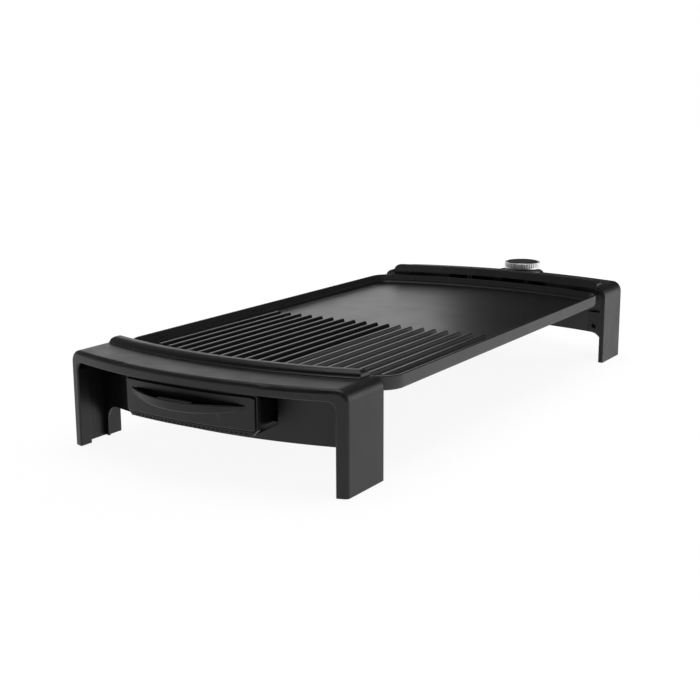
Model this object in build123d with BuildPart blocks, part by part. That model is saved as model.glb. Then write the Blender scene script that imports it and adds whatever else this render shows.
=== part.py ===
from build123d import *
import os
from math import cos, pi, sin, sqrt

os.makedirs("parts", exist_ok=True)

# The table grill stands on Z = 0 with its long axis along Y.
# The grease tray is at the front (-Y) and the thermostat plugs in at the rear (+Y).
# Heights are from the table; lengths along Y are counted from the middle of the cooking plate.
# An inset, drop, rise, gap or setback is a distance from a neighbouring piece;
# the places worked out below the list of sizes show which piece it is.

# Two moulded stands, each bowed outwards on one common radius
bow_radius = 438.0
stand_width = 286.4
stand_height = 86.5
stand_apex = 324.0
stand_depth = 77.7
stand_wall = 2.5
stand_corner = 11.0
stand_edge = 4.0
fascia_height = 10.0
leg_face = 9.8
leg_return = 10.0
opening_corner = 7.0
opening_edge = 1.2

# Gaps between pieces
fit_gap = 0.3
seat_gap = 0.05
seam_gap = 0.7

# Inner frame, set in from its stand
frame_wall = 2.5
web_drop = 8.0
apron_setback = 37.0
apron_strip = 3.5
border_side = 2.4
border_depth = 4.0
border_corner = 8.0
arch_side = 7.2
arch_radius = 16.0
boss_width = 16.0
boss_height = 22.0
boss_inset = 14.9
boss_rise = 3.0
boss_reach = 4.5
boss_hole_radius = 2.8
boss_hole_rise = 6.0

# Splash rim on top of each frame, with a hollow face and a foot over the stand's top
rim_setback = 57.0
rim_inset = 8.4
rim_height = 5.8
rim_drop = 2.3
rim_root = 7.4
rim_corner = 5.0
crest_lean = 5.2
crest_width = 2.4
face_hollow = 0.9
foot_reach = 17.5
foot_round = 3.0
foot_bulge = 0.6
band_recess = 1.5
band_drop = 0.5
vent_rise = 0.5
vent_edges = [(-63.5, -40.0), (-34.0, -4.0), (4.0, 34.0), (40.0, 63.5)]

# Cast cooking plate, half ribbed and half smooth, set in from the stands and rims
plate_inset = 0.2
plate_gap = 13.5
plate_drop = 4.1
plate_depth = 12.2
plate_corner = 23.0
plate_edge = 0.6
skirt_bevel = 1.2
skirt_bevel_height = 2.4
rim_lip = 1.6
step_inset = 5.6
step_depth = 4.6
basin_inset = 8.2
basin_depth = 8.8
cove_width = 7.0
rib_count = 19
rib_width = 5.8
rib_height = 4.0
rib_taper = 12.0
rib_side_gap = 5.2
rib_near_gap = 26.5
rib_far_end = -17.0
drain_length = 34.0
drain_width = 7.0
drain_inset = 21.0

# Lugs that carry the plate on shelves of the inner frames
lug_inset = 43.0
lug_width = 24.0
lug_thickness = 3.8
lug_length = 8.5
shelf_thickness = 2.5
shelf_margin = 3.0
thread_cover = 0.8
plate_screw_inset = 11.5

# Tubular heating element under the plate
element_drop = 7.7
element_radius = 3.75
element_sides = 8
element_gap = 0.1
element_turn = 22.0
element_inner = 42.0
element_side_inset = 39.0
element_front_inset = 93.5
element_lead = 44.0
element_bridge_gap = 56.0
ridge_width = 12.0
ridge_margin = 6.0

# Terminals, their guard and the boss for the probe
pin_spacing = 32.0
pin_radius = 2.5
pin_length = 45.0
insulator_radius = 5.2
insulator_length = 7.0
insulator_gap = 0.1
guard_sheet = 1.2
guard_side = 3.0
guard_drop = 12.5
guard_inset = 13.0
guard_depth = 21.5
guard_stub = 0.5
guard_flange = 8.0
guard_screw_side = 4.0
guard_screw_setback = 6.0
guard_screw_grip = 2.6
probe_radius = 2.75
probe_reach = 48.0
probe_bore_gap = 0.35
probe_bore_end_gap = 2.0
probe_boss_width = 12.0
probe_boss_drop = 5.5
probe_boss_wall = 3.0
probe_boss_margin = 4.0
probe_window = 4.5
probe_tail_gap = 2.0

# Grease tray that slides out under the front stand
tray_side_inset = 77.2
tray_setback = 4.0
tray_panel_drop = 2.5
tray_panel_height = 28.0
tray_panel_wall = 2.8
tray_panel_corner = 2.5
tray_panel_edge = 0.8
panel_gap = 0.7
bezel_side = 1.6
bezel_head = 1.7
bezel_strip = 4.4
bezel_wall = 3.0
bezel_recess = 0.8
bezel_cut = 5.0
notch_pitch = 4.4
notch_width = 2.2
notch_height = 1.6
notch_depth = 0.8
notch_margin = 2.0
pocket_side = 6.2
pocket_drop = 4.6
pocket_end_drop = 7.1
lip_depth = 15.0
lip_side = 4.6
lip_drop = 7.4
lip_height = 8.2
lip_end_height = 4.1
lip_wall = 2.6
lip_floor = 1.8
grip_half = 17.0
grip_width = 2.0
grip_height = 2.4
grip_rise = 0.8
pan_side = 8.0
pan_drop = 8.0
pan_rise = 2.0
pan_wall = 1.6
pan_corner = 6.0
pan_bevel = 3.0
pan_back_gap = 3.0
tray_screw_inset = 18.0
tray_screw_rise = 6.0
tray_screw_grip = 2.0

# Opening for the tray in the front frame, with a short tunnel behind it
tray_opening_gap = 0.3
tray_opening_drop = 8.1
opening_slope_width = 21.0
opening_slope_height = 11.5
opening_bend = 4.0
tunnel_depth = 8.0
tunnel_wall = 2.0
cradle_post_radius = 3.8

# Cradle that guides the tray
cradle_sheet = 1.2
cradle_gap = 0.4
cradle_drop = 2.0
cradle_reach = 70.5
cradle_face_side = 14.7
cradle_face_drop = 2.5
cradle_window_gap = 1.0
cradle_screw_side = 7.7
cradle_screw_rise = 7.0
cradle_screw_grip = 6.0

# Plug-in thermostat
housing_side = 3.0
housing_gap = 3.0
housing_drop = 14.5
housing_split_drop = 1.5
housing_low_height = 26.0
housing_top_drop = 2.1
housing_step_gap = 2.8
housing_centre_gap = 8.0
housing_wall = 2.2
housing_edge = 1.6
front_post_x = 22.5
front_post_gap = 13.0
rear_post_x = 17.0
rear_post_gap = 18.0
housing_post_radius = 4.4
housing_head_gap = 0.2
housing_grip = 15.0
block_half = 26.0
block_drop = 10.0
block_rise = 6.9
block_lap = 4.0
block_tail = 7.0
block_corner = 2.0
block_gap = 0.2
plug_opening_side = 6.0
plug_opening_drop = 6.5
plug_opening_rise = 3.6
socket_bore_gap = 0.35
socket_wall = 1.3
socket_inset = 2.0
switch_half = 10.0
switch_gap = 18.0
switch_tail = 8.0
switch_height = 12.8
contact_thickness = 0.8
contact_width = 5.0
contact_lap = 22.0
lens_radius = 3.0
lens_rise = 0.5
lens_stand = 1.4
lens_length = 4.6
lens_bevel = 0.6
lamp_radius = 2.2
lamp_length = 10.0
gland_drop = 4.0
gland_radius = 6.0
gland_neck = 8.0
gland_collar = 7.5
gland_collar_length = 4.0
gland_seat_depth = 1.0
gland_bore = 3.75

# Control knob on top of the thermostat
knob_gap = 15.0
knob_rise = 0.7
knob_ring_height = 7.4
knob_cap_rise = 0.8
knob_radius = 22.0
knob_ring_wall = 2.6
knob_flutes = 40
knob_flute_width = 1.8
knob_flute_depth = 0.8
knob_sheet = 1.8
knob_edge = 0.8
collar_radius = 12.0
collar_height = 2.0
shaft_radius = 3.0
shaft_gap = 0.4
hub_radius = 6.5
pointer_width = 2.0
pointer_length = 9.0
pointer_depth = 0.6

# Screws, which like their posts and holes are made with few flat sides because they repeat
screw_sides = 8
small_screw_radius = 1.4
small_head_radius = 3.0
small_head_height = 1.8
large_screw_radius = 1.9
large_head_radius = 3.8
large_head_height = 2.4
screw_clearance = 0.4
post_radius = 3.6
outer_screw_inset = 15.4
inner_screw_side = 11.7
frame_screw_setback = 4.7
frame_screw_grip = 7.0

# Amounts by which cutting solids run past what they cut
overlap = 1.0
clear = 60.0

# Stands and frames
stand_half = stand_width / 2
stand_back = stand_apex - stand_depth
fascia_bottom = stand_height - fascia_height
shell_inside = stand_height - stand_wall
frame_half = stand_half - stand_wall - fit_gap
frame_top = shell_inside - fit_gap
frame_apex = stand_apex - rim_setback
rim_half_width = frame_half - rim_inset
rim_top = stand_height + rim_height
rim_bottom = stand_height - rim_drop
web_bottom = shell_inside - web_drop
web_top = web_bottom + frame_wall
band_apex = frame_apex + band_recess
band_bottom = web_bottom - band_drop
vent_bottom = web_top + vent_rise
apron_apex = stand_apex - apron_setback
apron_back = apron_apex - frame_wall
lining_inside = frame_half - border_side
boss_middle_x = frame_half - boss_inset

# Cooking plate and its lugs
plate_half = stand_half - plate_inset
plate_apex = frame_apex - plate_gap
plate_top = stand_height - plate_drop
plate_bottom = plate_top - plate_depth
plate_floor = plate_top - basin_depth
step_height = plate_top - step_depth
rib_near_apex = plate_apex - rib_near_gap
rib_row_half = plate_half - basin_inset - cove_width - rib_side_gap - rib_width / 2
rib_pitch = 2 * rib_row_half / (rib_count - 1)
drain_y = drain_inset - plate_apex
lug_x = plate_half - lug_inset
lug_reach = plate_apex + lug_length
lug_top = plate_bottom + lug_thickness
shelf_bottom = plate_bottom - shelf_thickness
plate_screw_y = lug_reach - plate_screw_inset

# Heating element, guard and probe
guard_back = plate_apex - guard_inset
guard_front = guard_back + guard_depth
guard_half_width = block_half + guard_side
guard_screw_x = guard_half_width + guard_screw_side
guard_screw_y = guard_back + guard_screw_setback
element_height = plate_bottom - element_drop
element_end = guard_back - guard_stub
element_side = plate_half - element_side_inset
element_front = element_front_inset - plate_apex
element_rear = element_end - element_lead
element_bridge = element_rear - element_bridge_gap
guard_bottom = element_height - guard_drop
pin_x = pin_spacing / 2
pin_end = element_end + pin_length
contact_radius = pin_radius + socket_bore_gap + socket_wall
probe_tip = element_end - probe_reach
probe_bore_end = probe_tip - probe_bore_end_gap
probe_boss_front = probe_bore_end - probe_boss_wall
probe_boss_back = element_end - probe_boss_margin
probe_boss_bottom = element_height - probe_boss_drop

# Grease tray
tray_apex = stand_apex - tray_setback
handle_reach = tray_apex + lip_depth
panel_back = tray_apex - tray_panel_wall
bezel_apex = panel_back + bezel_recess
bezel_back = panel_back - bezel_wall
tray_panel_half = stand_half - tray_side_inset
tray_panel_top = fascia_bottom - tray_panel_drop
tray_panel_bottom = tray_panel_top - tray_panel_height
bezel_half = tray_panel_half + bezel_side
bezel_top = tray_panel_top + bezel_head
bezel_bottom = tray_panel_bottom - bezel_strip
notch_count = 2 * int((bezel_half - bezel_cut - notch_margin) / notch_pitch) + 1
pocket_half = tray_panel_half - pocket_side
pocket_top = tray_panel_top - pocket_drop
pocket_end_top = tray_panel_top - pocket_end_drop
lip_half = tray_panel_half - lip_side
lip_top = tray_panel_top - lip_drop
lip_bottom = lip_top - lip_height
lip_end_bottom = lip_top - lip_end_height
pan_half = tray_panel_half - pan_side
pan_top = tray_panel_top - pan_drop
pan_bottom = bezel_bottom + pan_rise
tray_screw_x = pan_half - tray_screw_inset
tray_screw_z = tray_panel_bottom + tray_screw_rise

# Opening, tunnel and cradle for the tray
tray_opening_half = tray_panel_half + tray_opening_gap
tray_opening_bottom = bezel_bottom - tray_opening_drop
apron_bottom = tray_opening_bottom - apron_strip
boss_bottom = apron_bottom + boss_rise
boss_hole_height = boss_bottom + boss_hole_rise
tunnel_back = apron_back - tunnel_depth
cradle_inside = pan_half + cradle_gap
cradle_outside = cradle_inside + cradle_sheet
cradle_floor = pan_bottom - cradle_gap
cradle_top = pan_top - cradle_drop
cradle_back = plate_apex - cradle_reach
cradle_apex = tunnel_back - seat_gap
cradle_face_half = tray_opening_half + cradle_face_side
cradle_screw_x = tray_opening_half + cradle_screw_side
cradle_screw_z = tray_panel_bottom + cradle_screw_rise
pan_back = cradle_back + pan_back_gap

# Thermostat
housing_half = block_half + housing_side
housing_front = apron_apex + housing_gap
housing_bottom = element_height - housing_drop
housing_split = element_height - housing_split_drop
housing_low_top = housing_bottom + housing_low_height
housing_top = stand_height - housing_top_drop
housing_step = stand_apex + housing_step_gap
housing_centre = stand_apex + housing_centre_gap
housing_end = housing_centre + housing_half
housing_posts = [
    (-front_post_x, housing_front + front_post_gap),
    (front_post_x, housing_front + front_post_gap),
    (-rear_post_x, housing_centre + rear_post_gap),
    (rear_post_x, housing_centre + rear_post_gap),
]
block_bottom = element_height - block_drop
block_top = element_height + block_rise
block_front = guard_front - block_lap
block_back = housing_front + block_tail
plug_opening_half = block_half + plug_opening_side
plug_opening_bottom = block_bottom - plug_opening_drop
plug_opening_top = block_top + plug_opening_rise
socket_front = block_front + socket_inset
probe_end = block_back - probe_tail_gap
knob_y = stand_apex + knob_gap
switch_front = housing_front + switch_gap
switch_back = knob_y + switch_tail
switch_bottom = housing_bottom + housing_wall
switch_top = switch_bottom + switch_height
contact_end = switch_front + contact_lap
lens_height = housing_low_top + lens_rise
lens_back = housing_end + lens_stand
lens_front = lens_back - lens_length
gland_height = housing_split - gland_drop
gland_seat = housing_end - gland_seat_depth
gland_start = gland_seat - gland_neck
thermostat_reach = gland_seat + gland_collar_length

# Knob and the screws through the frames
knob_bottom = stand_height + knob_rise
knob_ring_top = knob_bottom + knob_ring_height
knob_top = knob_ring_top + knob_cap_rise
knob_face_radius = knob_radius - knob_ring_wall
collar_top = housing_top + collar_height
outer_screw_x = frame_half - outer_screw_inset
inner_screw_x = tray_opening_half + inner_screw_side
frame_screw_xs = (-outer_screw_x, -inner_screw_x, inner_screw_x, outer_screw_x)
frame_screw_apex = apron_back - frame_screw_setback

# The middle of the whole object is at Y = 0
plate_middle = (handle_reach - thermostat_reach) / 2


def bow(apex, x):
    """Distance of a bowed line from the plate's middle, at a distance x from the centre line."""
    return apex - bow_radius + sqrt(bow_radius**2 - x**2)


def level(z):
    """Horizontal plane at a height, centred on the plate."""
    return Plane((0, plate_middle, z))


def facing_front(y):
    """Upright plane across the object, looking towards the front."""
    return Plane((0, plate_middle + y, 0), x_dir=(1, 0, 0), z_dir=(0, -1, 0))


def looking_down(x, y, z):
    """Seat for a screw that is driven upwards."""
    return Plane((x, plate_middle + y, z), x_dir=(1, 0, 0), z_dir=(0, 0, -1))


def looking_back(apex, x, z):
    """Plane on a bowed wall of the front stand, looking squarely off it towards the plate."""
    depth = sqrt(bow_radius**2 - x**2)
    return Plane(
        (x, plate_middle - bow(apex, x), z),
        x_dir=(0, 0, 1),
        z_dir=(-x / bow_radius, depth / bow_radius, 0),
    )


mid_plane = Plane((0, plate_middle, 0), x_dir=(1, 0, 0), z_dir=(0, -1, 0))
side_plane = Plane((0, plate_middle, 0), x_dir=(0, -1, 0), z_dir=(-1, 0, 0))


def slab(x_range, y_range, z_range):
    """Plain rectangular solid between pairs of limits."""
    with BuildPart() as block:
        with BuildSketch(level(z_range[0])):
            with Locations((sum(x_range) / 2, sum(y_range) / 2)):
                Rectangle(abs(x_range[1] - x_range[0]), abs(y_range[1] - y_range[0]))
        extrude(amount=z_range[1] - z_range[0])
    return block.part


def bowed_slab(outer_apex, inner_apex, half_width, low, high):
    """Solid between two bowed lines at the front end."""
    outer_end = -bow(outer_apex, half_width)
    inner_end = -bow(inner_apex, half_width)
    with BuildPart() as block:
        with BuildSketch(level(low)):
            with BuildLine():
                ThreePointArc((-half_width, outer_end), (0, -outer_apex), (half_width, outer_end))
                Line((half_width, outer_end), (half_width, inner_end))
                ThreePointArc((half_width, inner_end), (0, -inner_apex), (-half_width, inner_end))
                Line((-half_width, inner_end), (-half_width, outer_end))
            make_face()
        extrude(amount=high - low)
    return block.part


def bowed_block(apex, half_width, back, low, high):
    """Solid with a bowed front and a straight back."""
    side_end = -bow(apex, half_width)
    with BuildPart() as block:
        with BuildSketch(level(low)):
            with BuildLine():
                ThreePointArc((-half_width, side_end), (0, -apex), (half_width, side_end))
                Line((half_width, side_end), (half_width, -back))
                Line((half_width, -back), (-half_width, -back))
                Line((-half_width, -back), (-half_width, side_end))
            make_face()
        extrude(amount=high - low)
    return block.part


def arched_block(apex, half_width, back, top, corner):
    """Bowed block that stands on the table, with rounded upper corners."""
    with BuildPart() as block:
        add(bowed_block(apex, half_width, back, 0, top))
        fillet(block.edges().filter_by(Axis.Y).group_by(Axis.Z)[-1], corner)
    return block.part


def upright_window(half_width, low, high, corner, y_range):
    """Solid for cutting an opening with rounded upper corners through the front end."""
    with BuildPart() as block:
        with BuildSketch(facing_front(y_range[1])) as face:
            with Locations((0, (low + high) / 2)):
                Rectangle(2 * half_width, high - low)
            if corner > 0:
                fillet(face.vertices().group_by(Axis.Y)[-1], corner)
        extrude(amount=y_range[1] - y_range[0])
    return block.part


def cylinder_up(x, y, radius, low, high):
    """Upright cylinder."""
    with BuildPart() as block:
        with BuildSketch(level(low)):
            with Locations((x, y)):
                Circle(radius)
        extrude(amount=high - low)
    return block.part


def post_up(x, y, radius, low, high):
    """Upright screw post or screw hole."""
    with BuildPart() as block:
        with BuildSketch(level(low)):
            with Locations((x, y)):
                RegularPolygon(radius, screw_sides)
        extrude(amount=high - low)
    return block.part


def cylinder_back(x, z, radius, near, far):
    """Cylinder along Y."""
    with BuildPart() as block:
        with BuildSketch(facing_front(far)):
            with Locations((x, z)):
                Circle(radius)
        extrude(amount=far - near)
    return block.part


def cradle_post_end(side):
    """Plane on the end of one of the posts that the cradle is screwed to."""
    return looking_back(tunnel_back, side * cradle_screw_x, cradle_screw_z)


def tray_seat(side):
    """Plane squarely off the back of the tray's front at one of the tray's screws."""
    return looking_back(panel_back, side * tray_screw_x, tray_screw_z)


def screw(shank_radius, grip, head_radius, head_height):
    """Screw standing on the origin with its head up and its shank down."""
    with BuildPart() as body:
        with BuildSketch():
            RegularPolygon(head_radius, screw_sides)
        extrude(amount=head_height)
        with BuildSketch():
            RegularPolygon(shank_radius, screw_sides)
        extrude(amount=-grip)
    return body.part


def stand_shell():
    """Outer moulding of a stand: bowed top, fascia and two hollow legs."""
    with BuildPart() as shell:
        add(arched_block(stand_apex, stand_half, stand_back, stand_height, stand_corner))
        front_face = shell.faces().sort_by(Axis.Y)[0]
        fillet(front_face.edges().filter_by(lambda edge: edge.center().Z > overlap), stand_edge)
        add(
            arched_block(
                stand_apex - stand_wall,
                stand_half - stand_wall,
                stand_back - overlap,
                shell_inside,
                stand_corner - stand_wall,
            ),
            mode=Mode.SUBTRACT,
        )
        gap_half = stand_half - leg_face
        window_y = (-stand_apex - overlap, -stand_back + overlap)
        add(
            upright_window(gap_half, -overlap, fascia_bottom, opening_corner, window_y),
            mode=Mode.SUBTRACT,
        )
        # Rounded edge round the opening, on the bowed face only
        window_face = shell.faces().sort_by(Axis.Y)[0]
        fillet(
            window_face.edges().filter_by(
                lambda edge: overlap < edge.center().Z < fascia_bottom + overlap
                and abs(edge.center().X) < gap_half + overlap
            ),
            opening_edge,
        )
        # A return wall stiffens the inner edge of each leg
        return_front = -bow(stand_apex, gap_half + stand_wall) + stand_wall / 2
        return_back = -bow(stand_apex, stand_half) + leg_return
        for side in (-1, 1):
            add(
                slab(
                    (side * gap_half, side * (gap_half + stand_wall)),
                    (return_front, return_back),
                    (0, fascia_bottom - opening_corner),
                )
            )
        # The inner frame's splash rim comes up through this gap
        add(
            bowed_slab(
                frame_apex + rim_root + seam_gap,
                stand_back - clear,
                rim_half_width + seam_gap,
                web_top,
                stand_height + overlap,
            ),
            mode=Mode.SUBTRACT,
        )
        for x in frame_screw_xs:
            post_y = -bow(frame_screw_apex, x)
            add(post_up(x, post_y, post_radius, web_top, shell_inside))
            add(
                post_up(x, post_y, small_screw_radius, web_top, web_bottom + frame_screw_grip),
                mode=Mode.SUBTRACT,
            )
    return shell.part


def splash_rim():
    """Bar along the plate side of a stand: narrow crest, hollow outer face, foot over the stand's top."""
    root_outside = frame_apex + rim_root
    crest_inside = frame_apex + crest_lean
    crest_outside = crest_inside + crest_width
    foot_end = frame_apex + foot_reach
    foot_bottom = stand_height + fit_gap
    foot_top = foot_bottom + foot_round
    bow_axis = Axis((0, plate_middle + bow_radius - frame_apex, 0), (0, 0, 1))
    with BuildPart() as rim:
        with BuildSketch(side_plane):
            with BuildLine():
                Polyline(
                    (foot_end, foot_bottom),
                    (root_outside, foot_bottom),
                    (root_outside, rim_bottom),
                    (frame_apex, rim_bottom),
                    (crest_inside, rim_top),
                    (crest_outside, rim_top),
                )
                SagittaArc((crest_outside, rim_top), (foot_end - foot_round, foot_top), face_hollow)
                SagittaArc((foot_end - foot_round, foot_top), (foot_end, foot_bottom), -foot_bulge)
            make_face()
        revolve(axis=bow_axis)
        add(
            arched_block(stand_apex, rim_half_width, stand_back - clear, rim_top, rim_corner),
            mode=Mode.INTERSECT,
        )
    return rim.part


def leg_border():
    """Flange on the plate side of each leg, which turns in under the top with a rounded corner."""
    y_range = (-stand_back - border_depth, -stand_back)
    cut_range = (-stand_back - border_depth - overlap, -stand_back + overlap)
    with BuildPart() as border:
        add(slab((-frame_half, frame_half), y_range, (0, frame_top)))
        add(
            upright_window(lining_inside, -overlap, frame_top - border_side, border_corner, cut_range),
            mode=Mode.SUBTRACT,
        )
        add(
            upright_window(lining_inside - border_corner, -overlap, frame_top + overlap, 0, cut_range),
            mode=Mode.SUBTRACT,
        )
    return border.part


def inner_frame():
    """Inner moulding of a stand: splash rim, band, web, apron and leg linings."""
    lining_front = -bow(apron_back, frame_half) - frame_wall / 2
    boss_face = -bow(apron_back, boss_middle_x) + boss_reach
    shelf_half = lug_width / 2 + shelf_margin
    shelf_end = -plate_screw_y + large_head_radius + shelf_margin
    with BuildPart() as frame:
        add(bowed_slab(apron_apex, apron_back, frame_half, 0, frame_top))
        add(bowed_slab(apron_apex, band_apex, lining_inside, web_bottom, web_top))
        add(leg_border())
        for side in (-1, 1):
            # Lining inside the leg's side wall
            lining_sides = (side * lining_inside, side * frame_half)
            add(slab(lining_sides, (lining_front, -stand_back), (0, frame_top)))
            # Boss on the plate side of the apron
            add(
                slab(
                    (side * (boss_middle_x - boss_width / 2), side * (boss_middle_x + boss_width / 2)),
                    (-apron_apex, boss_face),
                    (boss_bottom, boss_bottom + boss_height),
                )
            )
            add(
                cylinder_back(
                    side * boss_middle_x,
                    boss_hole_height,
                    boss_hole_radius,
                    boss_face - boss_reach,
                    boss_face,
                ),
                mode=Mode.SUBTRACT,
            )
            # Shelf that a lug of the plate rests on
            add(
                slab(
                    (side * lug_x - shelf_half, side * lug_x + shelf_half),
                    (-apron_apex, shelf_end),
                    (shelf_bottom, plate_bottom),
                )
            )
            add(
                post_up(
                    side * lug_x,
                    -plate_screw_y,
                    large_screw_radius + screw_clearance,
                    shelf_bottom,
                    plate_bottom,
                ),
                mode=Mode.SUBTRACT,
            )
        # Follow the bow and the rounded inside of the shell
        inside_corner = stand_corner - stand_wall - fit_gap
        add(
            arched_block(apron_apex, frame_half, stand_back - clear, frame_top, inside_corner),
            mode=Mode.INTERSECT,
        )
        # Arch under the apron
        arch_y = (-apron_apex - overlap, -stand_back - border_depth)
        add(
            upright_window(stand_half - arch_side, -overlap, apron_bottom, arch_radius, arch_y),
            mode=Mode.SUBTRACT,
        )
        for x in frame_screw_xs:
            screw_y = -bow(frame_screw_apex, x)
            add(
                post_up(x, screw_y, small_screw_radius + screw_clearance, web_bottom, web_top),
                mode=Mode.SUBTRACT,
            )
        # Recessed band, and the rim on top of it
        add(bowed_slab(band_apex + frame_wall, band_apex, rim_half_width, band_bottom, rim_bottom))
        add(splash_rim())
    return frame.part


with BuildPart() as front_stand:
    add(stand_shell())
front_stand.part.label = "front_stand"

with BuildPart() as rear_stand:
    mirror(stand_shell(), about=mid_plane)
rear_stand.part.label = "rear_stand"


def tray_window(margin, front, back):
    """Solid with the outline of the tray's opening, whose lower corners slope, widened by a margin."""
    half = tray_opening_half + margin
    bottom = tray_opening_bottom - margin
    slope_top = (half, bottom + opening_slope_height)
    slope_end = (half - opening_slope_width, bottom)
    with BuildPart() as block:
        with BuildSketch(facing_front(-back)) as face:
            with BuildLine():
                Polyline(
                    (-half, web_bottom),
                    (-slope_top[0], slope_top[1]),
                    (-slope_end[0], slope_end[1]),
                    slope_end,
                    slope_top,
                    (half, web_bottom),
                    close=True,
                )
            make_face()
            fillet(face.vertices().group_by(Axis.Y)[1], opening_bend)
        extrude(amount=front - back)
    return block.part


with BuildPart() as front_frame:
    add(inner_frame())
    # Tunnel round the tray, which starts at the apron's outer face
    with BuildPart(mode=Mode.PRIVATE) as tunnel:
        add(tray_window(tunnel_wall, stand_apex, stand_back))
        add(
            bowed_slab(apron_apex, tunnel_back, tray_opening_half + tunnel_wall, 0, web_bottom),
            mode=Mode.INTERSECT,
        )
    add(tunnel.part)
    add(tray_window(0, stand_apex, stand_back), mode=Mode.SUBTRACT)
    # Posts for the cradle's screws
    for side in (-1, 1):
        with BuildSketch(cradle_post_end(side)):
            RegularPolygon(cradle_post_radius, screw_sides)
        extrude(amount=-tunnel_depth - frame_wall / 2)
        with BuildSketch(cradle_post_end(side)):
            RegularPolygon(small_screw_radius, screw_sides)
        extrude(amount=-cradle_screw_grip, mode=Mode.SUBTRACT)
front_frame.part.label = "front_frame"

with BuildPart() as rear_frame:
    mirror(inner_frame(), about=mid_plane)
    # Opening for the thermostat's connector
    add(
        slab(
            (-plug_opening_half, plug_opening_half),
            (apron_back - border_depth, apron_apex + overlap),
            (plug_opening_bottom, plug_opening_top),
        ),
        mode=Mode.SUBTRACT,
    )
    # Vents in the band under the rim
    for low_x, high_x in vent_edges:
        vent_y = (bow(frame_apex, max(-low_x, high_x)) - overlap, band_apex + frame_wall)
        add(slab((low_x, high_x), vent_y, (vent_bottom, rim_bottom)), mode=Mode.SUBTRACT)
rear_frame.part.label = "rear_frame"


def plate_outline(z, inset):
    """Outline of the cooking plate at a height, drawn in by an inset."""
    end_y = bow(plate_apex, plate_half)
    with BuildSketch(level(z)) as outline:
        with BuildLine():
            ThreePointArc((-plate_half, -end_y), (0, -plate_apex), (plate_half, -end_y))
            Line((plate_half, -end_y), (plate_half, end_y))
            ThreePointArc((plate_half, end_y), (0, plate_apex), (-plate_half, end_y))
            Line((-plate_half, end_y), (-plate_half, -end_y))
        make_face()
        fillet(outline.vertices(), plate_corner)
        if inset > 0:
            offset(amount=-inset)
    return outline.sketch


def cove_outline(turn):
    """Outline of the basin at an angle round its cove, from the step down to the floor."""
    depth = step_height - plate_floor
    return plate_outline(
        step_height - depth * sin(turn), basin_inset + cove_width * (1 - cos(turn))
    )


element_points = [
    (pin_x, element_rear),
    (element_side, element_rear),
    (element_side, element_front),
    (element_inner, element_front),
    (element_inner, element_bridge),
    (-element_inner, element_bridge),
    (-element_inner, element_front),
    (-element_side, element_front),
    (-element_side, element_rear),
    (-pin_x, element_rear),
]


def element_route(end_y):
    """Centre line of the heating element, which starts and stops at one distance."""
    with BuildLine(level(element_height)) as route:
        FilletPolyline((pin_x, end_y), *element_points, (-pin_x, end_y), radius=element_turn)
    return route.line


with BuildPart() as grill_plate:
    extrude(plate_outline(plate_bottom, 0), amount=plate_top - plate_bottom)
    chamfer(grill_plate.edges().group_by(Axis.Z)[-1], plate_edge)
    chamfer(grill_plate.edges().group_by(Axis.Z)[0], skirt_bevel_height, skirt_bevel)
    # Sloped inner side of the rim, down to a narrow step
    loft(
        [plate_outline(step_height, step_inset), plate_outline(plate_top + overlap / 2, rim_lip)],
        ruled=True,
        mode=Mode.SUBTRACT,
    )
    # Basin with a hollow cove round it
    loft([cove_outline(step * pi / 6) for step in (3, 2, 1, 0)], ruled=True, mode=Mode.SUBTRACT)
    # Ribs over the front half
    with BuildSketch(level(plate_floor)):
        for number in range(rib_count):
            rib_x = (number - (rib_count - 1) / 2) * rib_pitch
            near_y = -bow(rib_near_apex, rib_x)
            with Locations((rib_x, (near_y + rib_far_end) / 2)):
                Rectangle(rib_width, rib_far_end - near_y)
    extrude(amount=rib_height, taper=rib_taper)
    # Slot that lets grease down into the tray
    with BuildSketch(level(plate_floor)):
        with Locations((0, drain_y)):
            SlotOverall(drain_length, drain_width)
    extrude(amount=-plate_floor + plate_bottom, mode=Mode.SUBTRACT)
    # Ridge that grips the heating element
    ridge_line = element_route(element_end - ridge_margin)
    with BuildSketch(Plane(origin=ridge_line @ 0, x_dir=(1, 0, 0), z_dir=(0, -1, 0))):
        with Locations((0, (plate_bottom - element_height) / 2)):
            Rectangle(ridge_width, plate_bottom - element_height)
    sweep(path=ridge_line)
    with BuildSketch(Plane(origin=ridge_line @ 0, x_dir=(1, 0, 0), z_dir=(0, -1, 0))):
        RegularPolygon(element_radius + element_gap, element_sides)
    sweep(path=ridge_line, mode=Mode.SUBTRACT)
    for side in (-1, 1):
        # Lugs that rest on the frames' shelves
        lug_root = bow(plate_apex, lug_x + lug_width / 2) - skirt_bevel_height
        lug_sides = (side * lug_x - lug_width / 2, side * lug_x + lug_width / 2)
        for end in (-1, 1):
            add(slab(lug_sides, (end * lug_root, end * lug_reach), (plate_bottom, lug_top)))
            add(
                post_up(
                    side * lug_x,
                    end * plate_screw_y,
                    large_screw_radius,
                    plate_bottom,
                    lug_top - thread_cover,
                ),
                mode=Mode.SUBTRACT,
            )
        # Blind holes for the guard's screws
        add(
            post_up(
                side * guard_screw_x,
                guard_screw_y,
                small_screw_radius,
                plate_bottom,
                plate_bottom + guard_screw_grip,
            ),
            mode=Mode.SUBTRACT,
        )
    # Bored boss for the thermostat's probe
    add(
        slab(
            (-probe_boss_width / 2, probe_boss_width / 2),
            (probe_boss_front, probe_boss_back),
            (probe_boss_bottom, plate_bottom),
        )
    )
    add(
        cylinder_back(0, element_height, probe_radius + probe_bore_gap, probe_bore_end, probe_boss_back),
        mode=Mode.SUBTRACT,
    )
grill_plate.part.label = "grill_plate"

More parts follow.
